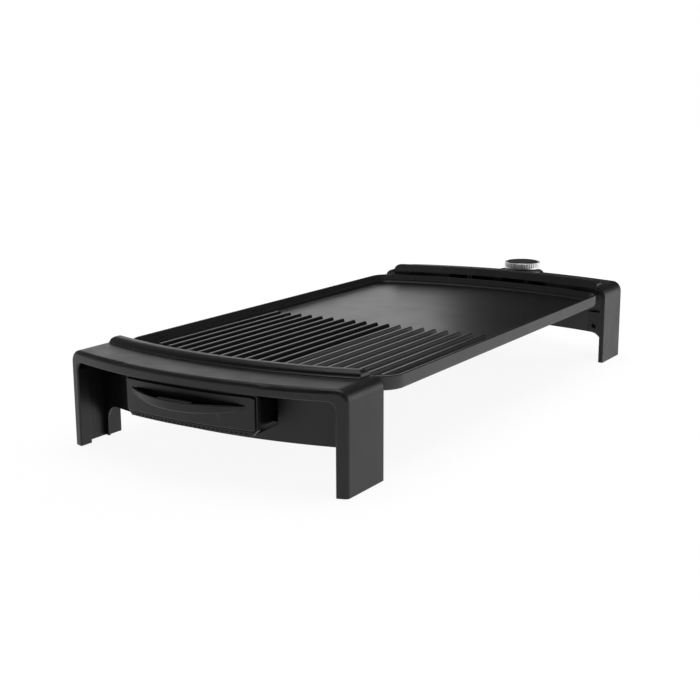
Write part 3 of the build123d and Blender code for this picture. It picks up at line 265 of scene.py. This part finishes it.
looks = {
    "standPlastic": {**mouldedPlastic, "dark": grey(0.006), "light": grey(0.010)},
    "framePlastic": {
        **mouldedPlastic, "dark": grey(0.002), "light": grey(0.004),
        "roughness": (0.32, 0.44),
    },
    "cookingCoating": {
        "grain": "cast", "grainScale": 800.0, "edgeRadius": 0.0005, "wearAndHighlight": 0.5, "wornAndHighlight": grey(0.06),
        "dark": grey(0.002), "light": grey(0.005), "bump": 0.1, "depth": 0.00005,
        "roughness": (0.28, 0.36), "uprightRoughness": 0.9, "fixed": {"Specular IOR Level": 0.26},
    },
    "skirtCoating": {
        "grain": "cast", "grainScale": 900.0, "edgeRadius": 0.0005, "wearAndHighlight": 0.4, "wornAndHighlight": grey(0.11),
        "dark": grey(0.030), "light": grey(0.044), "bump": 0.3, "depth": 0.0001,
        "roughness": (0.42, 0.55),
    },
    "trayPlastic": {
        **mouldedPlastic, "dark": grey(0.003), "light": grey(0.006),
        "roughness": (0.4, 0.55),
    },
    "trayFrontPlastic": {**mouldedPlastic, "dark": grey(0.003), "light": grey(0.006)},
    "thermostatPlastic": {**mouldedPlastic, "dark": grey(0.003), "light": grey(0.006)},
    "blockPlastic": {
        **mouldedPlastic, "dark": grey(0.008), "light": (0.016, 0.015, 0.014),
        "grainScale": 900.0, "roughness": (0.45, 0.6),
    },
    # near-black cradle paint, which also stands in as painted shade inside the drawer opening
    "cradlePaintAndShade": {
        "grain": "cast", "grainScale": 500.0, "edgeRadius": 0.0003, "wearAndHighlight": 0.5, "wornAndHighlight": grey(0.12),
        "dark": grey(0.008), "light": grey(0.014), "bump": 0.35, "depth": 0.0001,
        "roughness": (0.35, 0.5),
    },
    "heatedSteel": {
        **drawnSteel, "dark": (0.09, 0.08, 0.075), "light": (0.26, 0.23, 0.20), "wornAndHighlight": (0.36, 0.32, 0.27),
        "grainScale": 500.0, "stretch": (1.0, 1.0, 1.0), "roughness": (0.34, 0.6),
    },
    "zincSheet": {
        **drawnSteel, "dark": grey(0.36), "light": (0.52, 0.52, 0.51), "wornAndHighlight": (0.62, 0.62, 0.61),
    },
    "zincScrew": {
        **drawnSteel, "dark": (0.34, 0.34, 0.35), "light": (0.46, 0.46, 0.47), "wornAndHighlight": grey(0.62),
        "grainScale": 1600.0, "stretch": (1.0, 1.0, 0.2),
    },
    "pinPlating": {
        **drawnSteel, "dark": (0.58, 0.57, 0.54), "light": (0.72, 0.71, 0.68), "wornAndHighlight": (0.80, 0.79, 0.76),
        "grainScale": 1500.0, "roughness": (0.12, 0.24),
    },
    "knobSilver": {
        **drawnSteel, "dark": (0.86, 0.86, 0.87), "light": (0.94, 0.94, 0.95), "wornAndHighlight": grey(0.97),
        "grainScale": 1400.0, "stretch": (1.0, 1.0, 0.1), "roughness": (0.34, 0.44), "edgeRadius": 0.00015,
    },
    "knobBlack": {
        **mouldedPlastic, "dark": grey(0.004), "light": grey(0.008),
        "grainScale": 2600.0, "bump": 0.1, "roughness": (0.26, 0.34), "edgeRadius": 0.0003, "wearAndHighlight": 0.3,
        "fixed": {"Specular IOR Level": 0.15},
    },
    "whiteCeramic": {
        "grain": "cast", "grainScale": 600.0, "edgeRadius": 0.0003, "wearAndHighlight": 0.4, "wornAndHighlight": (0.58, 0.55, 0.49),
        "dark": (0.66, 0.64, 0.58), "light": (0.78, 0.76, 0.70), "bump": 0.4, "depth": 0.0001,
        "roughness": (0.5, 0.7),
    },
    "bareBrass": {
        **drawnSteel, "dark": (0.52, 0.36, 0.14), "light": (0.74, 0.54, 0.22), "wornAndHighlight": (0.86, 0.68, 0.34),
    },
    "brightSteel": {
        **drawnSteel, "dark": (0.44, 0.44, 0.43), "light": (0.60, 0.60, 0.59), "wornAndHighlight": (0.7, 0.7, 0.69),
    },
    "redLens": {
        "grain": "cast", "grainScale": 300.0, "edgeRadius": 0.0002, "wearAndHighlight": 0.2, "wornAndHighlight": (0.62, 0.09, 0.06),
        "dark": (0.40, 0.02, 0.015), "light": (0.55, 0.035, 0.025), "bump": 0.05, "depth": 0.00005,
        "roughness": (0.08, 0.14), "fixed": {"Coat Weight": 0.6, "Coat Roughness": 0.05},
    },
    "lampGlass": {
        "grain": "cast", "grainScale": 300.0, "edgeRadius": 0.0002, "wearAndHighlight": 0.1, "wornAndHighlight": (0.95, 0.85, 0.75),
        "dark": (0.86, 0.66, 0.50), "light": (0.94, 0.78, 0.62), "bump": 0.03, "depth": 0.00005,
        "roughness": (0.04, 0.08), "fixed": {"Transmission Weight": 0.85, "IOR": 1.5},
    },
    "glandRubber": {
        **mouldedPlastic, "dark": grey(0.008), "light": grey(0.016),
        "grainScale": 1000.0, "bump": 0.5, "roughness": (0.6, 0.8),
    },
}
finishes = {name: makeFinish(name, look) for name, look in looks.items()}
print("finishes made:", len(finishes))


# Ways to work on a mesh

meshRule = {
    "weld": 0.000002, "flatAngle": 0.3, "normalWeight": 100,
    "squarely": 0.9,  # what a normal has at least, along the way that its face looks
}


def pickOnly(*pieces):
    bpy.ops.object.select_all(action="DESELECT")
    for piece in pieces:
        piece.select_set(True)
    bpy.context.view_layer.objects.active = pieces[0]


def selectParts(piece, kind, test):
    # opens the piece in edit mode with only the vertices, edges or faces that pass the test selected
    if piece.mode != "EDIT":
        pickOnly(piece)
        bpy.ops.object.mode_set(mode="EDIT")
    bpy.ops.mesh.select_mode(type={"verts": "VERT", "edges": "EDGE", "faces": "FACE"}[kind])
    bpy.ops.mesh.select_all(action="DESELECT")
    mesh = bmesh.from_edit_mesh(piece.data)
    for part in getattr(mesh, kind):
        if test(part):
            part.select_set(True)
    if kind == "verts":
        mesh.select_flush(True)
    bmesh.update_edit_mesh(piece.data)


def applyModifier(piece, kind, **values):
    pickOnly(piece)
    modifier = piece.modifiers.new(kind.lower(), kind)
    for key, value in values.items():
        setattr(modifier, key, value)
    bpy.ops.object.modifier_apply(modifier=modifier.name)


def cleanCopy(nodeName, name):
    # a CAD mesh is loose triangles, so its copy is merged and flat areas become single faces
    piece = bpy.data.objects.new(name, nodes[nodeName].data.copy())
    bpy.context.scene.collection.objects.link(piece)
    pickOnly(piece)
    bpy.ops.mesh.customdata_custom_splitnormals_clear()
    bpy.ops.object.mode_set(mode="EDIT")
    bpy.ops.mesh.select_all(action="SELECT")
    bpy.ops.mesh.remove_doubles(threshold=meshRule["weld"])
    bpy.ops.mesh.dissolve_limited(angle_limit=radians(meshRule["flatAngle"]))
    bpy.ops.object.mode_set(mode="OBJECT")
    return piece


def finishPiece(piece, finish, body, nodeName, smoothAngle=35.0):
    if piece.mode == "EDIT":
        bpy.ops.object.mode_set(mode="OBJECT")
    pickOnly(piece)
    bpy.ops.object.transform_apply(location=True, rotation=True, scale=True)
    bpy.ops.object.shade_smooth_by_angle(angle=radians(smoothAngle))
    # large faces stay flat up to their rounded edges
    applyModifier(piece, "WEIGHTED_NORMAL", keep_sharp=True, weight=meshRule["normalWeight"])
    piece.data.materials.clear()
    piece.data.materials.append(finishes[finish])
    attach(piece, body)
    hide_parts(nodeName)


# Cooking plate: the casting with its ribs rounded and its skirt in a greyer coating

castPlate = {
    "ribTop": 0.0776, "floorTop": 0.0736, "ribRound": 0.0011, "ribSteps": 3,
    "rimTop": 0.0824, "skirtWidth": 0.0015, "bottom": 0.0702, "tolerance": 0.00002,
    "bowRadius": 0.438, "apex": 0.2535, "middle": -0.0145, "uprightBelow": 0.7, "outwardsBy": 0.02,
}


def makePlate():
    size = castPlate
    plate = cleanCopy("grill_plate", "castPlate")

    def near(value, level):
        return abs(value - level) < size["tolerance"]

    def ribEdge(edge):
        # the edges of a rib's top, and those that go down from its corners
        low, high = sorted(vertex.co.z for vertex in edge.verts)
        return near(high, size["ribTop"]) and (near(low, size["ribTop"]) or near(low, size["floorTop"]))

    selectParts(plate, "edges", ribEdge)
    bpy.ops.mesh.bevel(offset=size["ribRound"], segments=size["ribSteps"], affect="EDGES", clamp_overlap=True)
    finishPiece(plate, "cookingCoating", "base", "grill_plate", smoothAngle=40.0)
    plate.data.materials.append(finishes["skirtCoating"])
    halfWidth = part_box("grill_plate")[1].x

    def facesOut(face):
        # the skirt's faces point away from the middle of the plate
        middle = face.calc_center_median()
        away = Vector((middle.x, middle.y - size["middle"], 0))
        return face.normal.dot(away) > size["outwardsBy"]

    def skirtFace(face):
        # the underside, and upright faces on the bowed ends, the sides and the corners
        middle = face.calc_center_median()
        if middle.z < size["bottom"] + size["tolerance"]:
            return True
        reach = size["apex"] - size["bowRadius"] + sqrt(size["bowRadius"] ** 2 - middle.x ** 2)
        atSide = abs(middle.x) > halfWidth - size["skirtWidth"]
        atEnd = abs(middle.y - size["middle"]) > reach - size["skirtWidth"]
        atCorner = middle.z < size["rimTop"] - size["tolerance"] and facesOut(face)
        return abs(face.normal.z) < size["uprightBelow"] and (atSide or atEnd or atCorner)

    selectParts(plate, "faces", skirtFace)
    plate.active_material_index = 1
    bpy.ops.object.material_slot_assign()
    bpy.ops.object.mode_set(mode="OBJECT")


makePlate()
print("cooking plate made")


# Heating tube: a round tube bent along the CAD element's centre line

heatingTube = {
    "radius": 0.00372, "sides": 24, "turn": 0.022, "turnSteps": 10, "height": 0.0625,
    "pin": 0.016, "side": 0.104, "inner": 0.042, "front": -0.1745, "end": 0.2255, "rear": 0.1815,
    "bridge": 0.1255, "capInset": 0.0012, "capDepth": 0.0006, "weld": 0.00001,
}


def makeHeatingTube():
    size = heatingTube
    corners = [
        (size["pin"], size["end"]), (size["pin"], size["rear"]), (size["side"], size["rear"]),
        (size["side"], size["front"]), (size["inner"], size["front"]), (size["inner"], size["bridge"]),
    ]
    route = [Vector((x, y, size["height"])) for x, y in corners]
    route += [Vector((-point.x, point.y, point.z)) for point in reversed(route)]
    bpy.ops.object.select_all(action="DESELECT")
    bpy.ops.mesh.primitive_circle_add(
        vertices=size["sides"], radius=size["radius"], fill_type="NGON",
        location=route[0], rotation=(pi / 2, 0, 0),
    )
    tube = bpy.context.object
    tube.name = "heatingTube"
    bpy.ops.object.transform_apply(location=True, rotation=True, scale=True)
    bpy.ops.object.mode_set(mode="EDIT")
    bpy.ops.mesh.select_all(action="SELECT")
    here = route[0]
    for number in range(1, len(route)):
        corner = route[number]
        heading = (corner - here).normalized()
        last = number == len(route) - 1
        start = corner if last else corner - heading * size["turn"]
        bpy.ops.mesh.extrude_region_move(TRANSFORM_OT_translate={"value": start - here})
        here = start
        if last:
            continue
        leaving = (route[number + 1] - corner).normalized()
        centre = start + leaving * size["turn"]
        # spin turns clockwise where its angle is above 0
        way = -1 if heading.cross(leaving).z > 0 else 1
        bpy.ops.mesh.spin(
            steps=size["turnSteps"], angle=pi / 2 * way, center=centre, axis=(0, 0, 1), dupli=False
        )
        here = corner + leaving * size["turn"]
    # the two end faces get a shallow recess
    for end in (route[0], route[-1]):
        def endFace(face):
            return len(face.verts) > 4 and (face.calc_center_median() - end).length < size["radius"]

        selectParts(tube, "faces", endFace)
        bpy.ops.mesh.inset(thickness=size["capInset"], depth=-size["capDepth"])
    bpy.ops.mesh.select_all(action="SELECT")
    bpy.ops.mesh.remove_doubles(threshold=size["weld"])
    bpy.ops.mesh.normals_make_consistent(inside=False)
    finishPiece(tube, "heatedSteel", "base", "heating_element", smoothAngle=50.0)


makeHeatingTube()
print("heating tube made")


# Cross-head screws, modelled once for each size and copied to their seats

screwShape = {
    "sides": 32, "crownRound": 0.45, "crownSteps": 4, "shankShare": 0.92, "tipShare": 0.5, "tipTaper": 0.5,
    "crossWidth": 0.28, "crossReach": 1.15, "crossDepth": 0.62, "crossTaper": 0.55,
    "firstTurn": 11, "nextTurn": 37, "endsTried": 3, "leastEnd": 0.000008,
}
smallScrew = {"head": 0.0029, "tall": 0.0018, "shank": 0.0014, "body": "base"}
screwGroups = {
    "frame_screws": {**smallScrew, "length": 0.0070},
    "plate_screws": {"head": 0.0037, "tall": 0.0024, "shank": 0.0019, "body": "base", "length": 0.0055},
    "guard_screws": {**smallScrew, "length": 0.0038},
    "cradle_screws": {**smallScrew, "length": 0.0072},
    "tray_screws": {**smallScrew, "length": 0.0066, "body": "tray"},
    "housing_screws": {**smallScrew, "length": 0.0150, "body": "thermostat"},
}


def makeScrew(name, size):
    # the head points up from Z = 0 and the shank goes down
    shape = screwShape
    bpy.ops.object.select_all(action="DESELECT")
    bpy.ops.mesh.primitive_cylinder_add(
        vertices=shape["sides"], radius=size["head"], depth=size["tall"], location=(0, 0, size["tall"] / 2)
    )
    screw = bpy.context.object
    screw.name = name
    bpy.ops.object.transform_apply(location=True)
    # rounded pan head
    selectParts(screw, "edges", lambda edge: all(vertex.co.z > size["tall"] / 2 for vertex in edge.verts))
    crownRound = size["tall"] * shape["crownRound"]
    bpy.ops.mesh.bevel(offset=crownRound, segments=shape["crownSteps"], affect="EDGES")
    # shank with a narrowed tip
    tipLength = size["shank"] * shape["tipShare"]
    selectParts(screw, "faces", lambda face: face.normal.z < -meshRule["squarely"])
    bpy.ops.mesh.inset(thickness=size["head"] - size["shank"] * shape["shankShare"])
    bpy.ops.mesh.extrude_region_move(TRANSFORM_OT_translate={"value": (0, 0, tipLength - size["length"])})
    bpy.ops.mesh.extrude_region_move(TRANSFORM_OT_translate={"value": (0, 0, -tipLength)})
    bpy.ops.transform.resize(value=(shape["tipTaper"], shape["tipTaper"], 1))
    bpy.ops.object.mode_set(mode="OBJECT")
    # cross recess, cut by two tapered bars
    recessFloor = size["tall"] * (1 - shape["crossDepth"])
    for turn in (0, pi / 2):
        bpy.ops.object.select_all(action="DESELECT")
        bpy.ops.mesh.primitive_cube_add(size=1, location=(0, 0, recessFloor + size["tall"] / 2))
        bar = bpy.context.object
        bar.scale = (size["head"] * shape["crossReach"], size["head"] * shape["crossWidth"], size["tall"])
        bar.rotation_euler.z = turn
        bpy.ops.object.transform_apply(location=True, rotation=True, scale=True)
        selectParts(bar, "faces", lambda face: face.normal.z < -meshRule["squarely"])
        bpy.ops.transform.resize(value=(shape["crossTaper"], shape["crossTaper"], 1))
        bpy.ops.object.mode_set(mode="OBJECT")
        applyModifier(screw, "BOOLEAN", operation="DIFFERENCE", object=bar, solver="EXACT")
        bpy.data.objects.remove(bar)
    return screw


def screwSeats(nodeName):
    # reads each screw's place and direction from the islands of the CAD node
    shape = screwShape
    cleanCopy(nodeName, "islands")
    bpy.ops.object.mode_set(mode="EDIT")
    bpy.ops.mesh.select_all(action="SELECT")
    bpy.ops.mesh.separate(type="LOOSE")
    bpy.ops.object.mode_set(mode="OBJECT")
    seats = []
    for island in list(bpy.context.selected_objects):
        places = [vertex.co for vertex in island.data.vertices]
        middle = sum(places, Vector()) / len(places)
        faces = sorted(island.data.polygons, key=lambda face: face.area, reverse=True)
        ends = [face for face in faces if len(face.vertices) > 4][:shape["endsTried"]]

        def reach(face):
            # how far out a face lies, if it is large enough for a head
            return (face.center - middle).dot(face.normal) * (face.area > shape["leastEnd"])

        # on three of the four plate screws this takes the shank's end, so those stand head up
        top = max(ends, key=reach)
        seats.append((top.center.copy(), top.normal.copy()))
        bpy.data.objects.remove(island)
    return seats


def placeScrews(nodeName, size):
    shape = screwShape
    pieceName = nodeName.replace("_s", "S")
    model = makeScrew(pieceName + "Model", size)
    copies = []
    for number, (place, direction) in enumerate(screwSeats(nodeName)):
        copy = bpy.data.objects.new(f"copy{number}", model.data.copy())
        bpy.context.scene.collection.objects.link(copy)
        turn = Vector((0, 0, 1)).rotation_difference(direction).to_matrix().to_4x4()
        spin = Matrix.Rotation(radians(shape["firstTurn"] + shape["nextTurn"] * number), 4, "Z")
        seat = place - direction * size["tall"]
        copy.matrix_world = Matrix.Translation(seat) @ turn @ spin
        copies.append(copy)
    bpy.data.objects.remove(model)
    pickOnly(*copies)
    bpy.ops.object.transform_apply(location=True, rotation=True, scale=True)
    bpy.ops.object.join()
    joined = bpy.context.object
    joined.name = pieceName
    finishPiece(joined, "zincScrew", size["body"], nodeName)


for nodeName, size in screwGroups.items():
    placeScrews(nodeName, size)
print("screws made:", len(screwGroups), "groups")


# Tray front: the CAD shape with its lip rounded over

trayFront = {
    "lipTop": 0.0666, "lipLow": 0.058, "lipHigh": 0.062, "panelFront": -0.3335, "tolerance": 0.00005,
    "topRound": 0.0019, "bottomRound": 0.0014, "steps": 4, "forwards": 0.5,
}


def makeTrayFront():
    size = trayFront
    front = cleanCopy("tray_front", "trayFront")

    def looksOut(edge):
        return any(face.normal.y < -size["forwards"] for face in edge.link_faces)

    def crestEdge(edge):
        # where the lip's upright outer face meets its flat top
        level = all(abs(vertex.co.z - size["lipTop"]) < size["tolerance"] for vertex in edge.verts)
        upwards = any(face.normal.z > meshRule["squarely"] for face in edge.link_faces)
        return level and looksOut(edge) and upwards

    def footEdge(edge):
        # where the same face meets the lip's underside
        inside = all(size["lipLow"] < vertex.co.z < size["lipHigh"] for vertex in edge.verts)
        inFront = all(vertex.co.y < size["panelFront"] for vertex in edge.verts)
        downwards = any(face.normal.z < -meshRule["squarely"] for face in edge.link_faces)
        return inside and inFront and looksOut(edge) and downwards

    for test, width in ((crestEdge, size["topRound"]), (footEdge, size["bottomRound"])):
        selectParts(front, "edges", test)
        bpy.ops.mesh.bevel(offset=width, segments=size["steps"], affect="EDGES", clamp_overlap=True)
    finishPiece(front, "trayFrontPlastic", "tray", "tray_front", smoothAngle=40.0)


makeTrayFront()
print("tray front made")


# Knob ring: rounded flutes between a plain foot and a plain lip

knobRing = {
    "middle": (0.0, 0.3245), "bottom": 0.0872, "top": 0.0946, "radius": 0.022, "inside": 0.0194,
    "flutes": 44, "stepsPerFlute": 6, "fluteDepth": 0.0006, "footTall": 0.0018, "lipTall": 0.0007,
    "lipRadius": 0.0217, "lipRound": 0.0003, "shoulder": 0.0001, "ridgeFullness": 0.6,
}


def makeKnobRing():
    size = knobRing
    count = size["flutes"] * size["stepsPerFlute"]
    bpy.ops.object.select_all(action="DESELECT")
    bpy.ops.mesh.primitive_circle_add(
        vertices=count, radius=size["radius"], fill_type="NOTHING", location=(*size["middle"], size["bottom"])
    )
    ring = bpy.context.object
    ring.name = "knobRing"
    bpy.ops.object.transform_apply(location=True)
    selectParts(ring, "verts", lambda vertex: True)

    def setRadius(rule):
        # the rule gives the radius at each turn round the knob
        mesh = bmesh.from_edit_mesh(ring.data)
        for vertex in mesh.verts:
            if vertex.select:
                away = Vector((vertex.co.x - size["middle"][0], vertex.co.y - size["middle"][1]))
                turn = away.angle_signed(Vector((1, 0)), 0)
                away = away.normalized() * rule(turn)
                vertex.co.x = size["middle"][0] + away.x
                vertex.co.y = size["middle"][1] + away.y
        bmesh.update_edit_mesh(ring.data)

    def raiseTo(height, radius=None):
        # extrudes the loop that is selected to a height, and then takes it to a radius
        mesh = bmesh.from_edit_mesh(ring.data)
        chosen = [vertex for vertex in mesh.verts if vertex.select]
        rise = height - chosen[0].co.z
        bpy.ops.mesh.extrude_region_move(TRANSFORM_OT_translate={"value": (0, 0, rise)})
        if radius:
            setRadius(lambda turn: radius)

    def fluted(turn):
        # rounded ridges with narrower hollows between them
        wave = abs(cos(turn * size["flutes"] / 2))
        return size["radius"] - size["fluteDepth"] * (1 - wave ** size["ridgeFullness"])

    footTop = size["bottom"] + size["footTall"]
    lipBottom = size["top"] - size["lipTall"]
    raiseTo(footTop)
    raiseTo(footTop + size["shoulder"])
    setRadius(fluted)
    raiseTo(lipBottom)
    raiseTo(lipBottom + size["shoulder"], size["lipRadius"])
    raiseTo(size["top"] - size["lipRound"])
    raiseTo(size["top"], size["lipRadius"] - size["lipRound"])
    raiseTo(size["top"], size["inside"] + size["lipRound"])
    raiseTo(size["top"] - size["lipRound"], size["inside"])
    raiseTo(size["bottom"], size["inside"])
    selectParts(ring, "edges", lambda edge: edge.is_boundary)
    bpy.ops.mesh.bridge_edge_loops()
    bpy.ops.mesh.select_all(action="SELECT")
    bpy.ops.mesh.remove_doubles(threshold=meshRule["weld"])
    bpy.ops.mesh.normals_make_consistent(inside=False)
    finishPiece(ring, "knobSilver", "knob", "knob_ring", smoothAngle=40.0)


makeKnobRing()
print("knob ring made")


# Finishes of the CAD nodes, also of those that a new piece replaces

nodeFinish = {
    "front_stand": "standPlastic", "rear_stand": "standPlastic",
    "front_frame": "framePlastic", "rear_frame": "framePlastic",
    "terminal_pins": "pinPlating", "terminal_insulators": "whiteCeramic", "terminal_guard": "zincSheet",
    "tray_cradle": "cradlePaintAndShade", "tray_pan": "trayPlastic", "tray_bezel": "trayPlastic",
    "tray_front": "trayFrontPlastic",
    "thermostat_base": "thermostatPlastic", "thermostat_cover": "thermostatPlastic",
    "connector_block": "blockPlastic", "socket_contacts": "bareBrass", "probe_rod": "brightSteel",
    "switch_block": "whiteCeramic", "contact_strips": "bareBrass",
    "indicator_lens": "redLens", "indicator_lamp": "lampGlass", "cord_gland": "glandRubber",
    "knob_shaft": "brightSteel", "knob_cap": "knobBlack",
    "grill_plate": "cookingCoating", "heating_element": "heatedSteel", "knob_ring": "knobSilver",
    **{nodeName: "zincScrew" for nodeName in screwGroups},
}
for nodeName, finishName in nodeFinish.items():
    nodes[nodeName].data.materials.clear()
    nodes[nodeName].data.materials.append(finishes[finishName])
print("finishes on all nodes:", len(nodeFinish))


# Floor, backdrop, lamps and camera

def seenShare(tree, rays):
    # 1 for what the camera sees, also by way of gloss and glass
    seen = addMath(tree, "MAXIMUM", rays["Is Camera Ray"], rays["Is Glossy Ray"])
    return addMath(tree, "MAXIMUM", seen, rays["Is Transmission Ray"])


floorSettings = {
    "width": 14.0, "colour": (0.80, 0.80, 0.80, 1.0), "glow": 1.06,
    "distances": (0.45, 1.3), "shares": (0.86, 1.0),
}


def makeFloor():
    # pale paint that fades into a white ground with distance, and keeps the object's shadow
    ground = floorSettings
    bpy.ops.object.select_all(action="DESELECT")
    bpy.ops.mesh.primitive_plane_add(size=ground["width"], location=(0, 0, 0))
    floor = bpy.context.object
    floor.name = "floor"
    material = bpy.data.materials.new("floorPaint")
    material.use_nodes = True
    tree = material.node_tree
    tree.nodes.clear()
    paint = addNode(tree, "ShaderNodeBsdfDiffuse", {"Color": ground["colour"]})
    glow = addNode(tree, "ShaderNodeEmission", {"Color": (1, 1, 1, 1), "Strength": ground["glow"]})
    seen = seenShare(tree, addNode(tree, "ShaderNodeLightPath").outputs)
    place = addNode(tree, "ShaderNodeTexCoord").outputs["Object"]
    distance = addNode(tree, "ShaderNodeVectorMath", {0: place}, operation="LENGTH").outputs["Value"]
    shown = mapRange(tree, distance, ground["distances"], ground["shares"], interpolation_type="SMOOTHSTEP")
    share = addMath(tree, "MULTIPLY", seen, shown)
    lit = addNode(tree, "ShaderNodeMixShader", {0: share, 1: paint.outputs[0], 2: glow.outputs[0]})
    # from beneath, the floor lets the underside be looked at
    under = addNode(tree, "ShaderNodeNewGeometry").outputs["Backfacing"]
    clear = addNode(tree, "ShaderNodeBsdfTransparent")
    both = addNode(tree, "ShaderNodeMixShader", {0: under, 1: lit.outputs[0], 2: clear.outputs[0]})
    addNode(tree, "ShaderNodeOutputMaterial", {"Surface": both.outputs[0]})
    floor.data.materials.append(material)


worldSettings = {
    "fill": 0.42, "white": 1.0, "whiteTo": 0.03, "greyFrom": 0.09,
    "ceilingTones": (0.24, 0.04), "ceilingRange": (-0.70, -0.38),
}


def makeWorld():
    # white up to a little over the horizon, with a ceiling above it that darkens along X
    studio = worldSettings
    world = bpy.data.worlds.new("studio")
    bpy.context.scene.world = world
    world.use_nodes = True
    tree = world.node_tree
    tree.nodes.clear()
    rays = addNode(tree, "ShaderNodeLightPath").outputs
    seen = seenShare(tree, rays)
    direction = addNode(tree, "ShaderNodeTexCoord").outputs["Generated"]
    parts = addNode(tree, "ShaderNodeSeparateXYZ", {0: direction}).outputs
    ceiling = mapRange(
        tree, parts["X"], studio["ceilingRange"], studio["ceilingTones"], interpolation_type="SMOOTHSTEP"
    )
    backdrop = mapRange(
        tree, parts["Z"], (studio["whiteTo"], studio["greyFrom"]), (studio["white"], ceiling),
        interpolation_type="SMOOTHSTEP",
    )
    backdrop = addMath(tree, "MAXIMUM", backdrop, rays["Is Camera Ray"])
    fill = addNode(tree, "ShaderNodeBackground", {"Color": (1, 1, 1, 1), "Strength": studio["fill"]})
    white = addNode(tree, "ShaderNodeBackground", {"Color": (1, 1, 1, 1), "Strength": backdrop})
    both = addNode(tree, "ShaderNodeMixShader", {0: seen, 1: fill.outputs[0], 2: white.outputs[0]})
    addNode(tree, "ShaderNodeOutputWorld", {"Surface": both.outputs[0]})


lamps = {
    "overhead": {"place": (0.0, 0.1, 1.7), "aim": (0.0, 0.0, 0.05), "size": (1.4, 1.4), "power": 14.0},
    "backLeft": {"place": (-1.45, 1.45, 0.60), "aim": (-0.05, -0.1, 0.08), "size": (1.4, 0.8), "power": 3.6},
    "right": {"place": (1.5, 1.3, 0.5), "aim": (0.1, 0.1, 0.05), "size": (1.0, 0.7), "power": 7.0},
}


def makeLamp(name, lamp):
    data = bpy.data.lights.new(name, "AREA")
    data.shape = "RECTANGLE"
    data.size, data.size_y = lamp["size"]
    data.energy = lamp["power"]
    light = bpy.data.objects.new(name, data)
    bpy.context.scene.collection.objects.link(light)
    place = Vector(lamp["place"])
    turn = (place - Vector(lamp["aim"])).to_track_quat("Z", "Y")
    light.matrix_world = Matrix.Translation(place) @ turn.to_matrix().to_4x4()


makeFloor()
makeWorld()
for name, lamp in lamps.items():
    makeLamp(name, lamp)
print("floor and light set")

photoView = {
    "place": (0.6178, -1.0700, 0.3142), "azimuth": 32.02, "elevation": 12.40, "roll": -0.21,
    "lens": 62.71, "sensorWidth": 36.0, "clipStart": 0.01,
}


def makeCamera():
    view = photoView
    data = bpy.data.cameras.new("photoView")
    data.lens = view["lens"]
    data.sensor_width = view["sensorWidth"]
    data.clip_start = view["clipStart"]
    camera = bpy.data.objects.new("photoView", data)
    bpy.context.scene.collection.objects.link(camera)
    camera.matrix_world = (
        Matrix.Translation(view["place"])
        @ Matrix.Rotation(radians(view["azimuth"]), 4, "Z")
        @ Matrix.Rotation(radians(90 - view["elevation"]), 4, "X")
        @ Matrix.Rotation(radians(view["roll"]), 4, "Z")
    )
    bpy.context.scene.camera = camera


makeCamera()
bpy.context.scene.view_settings.view_transform = "Standard"
print("camera set")
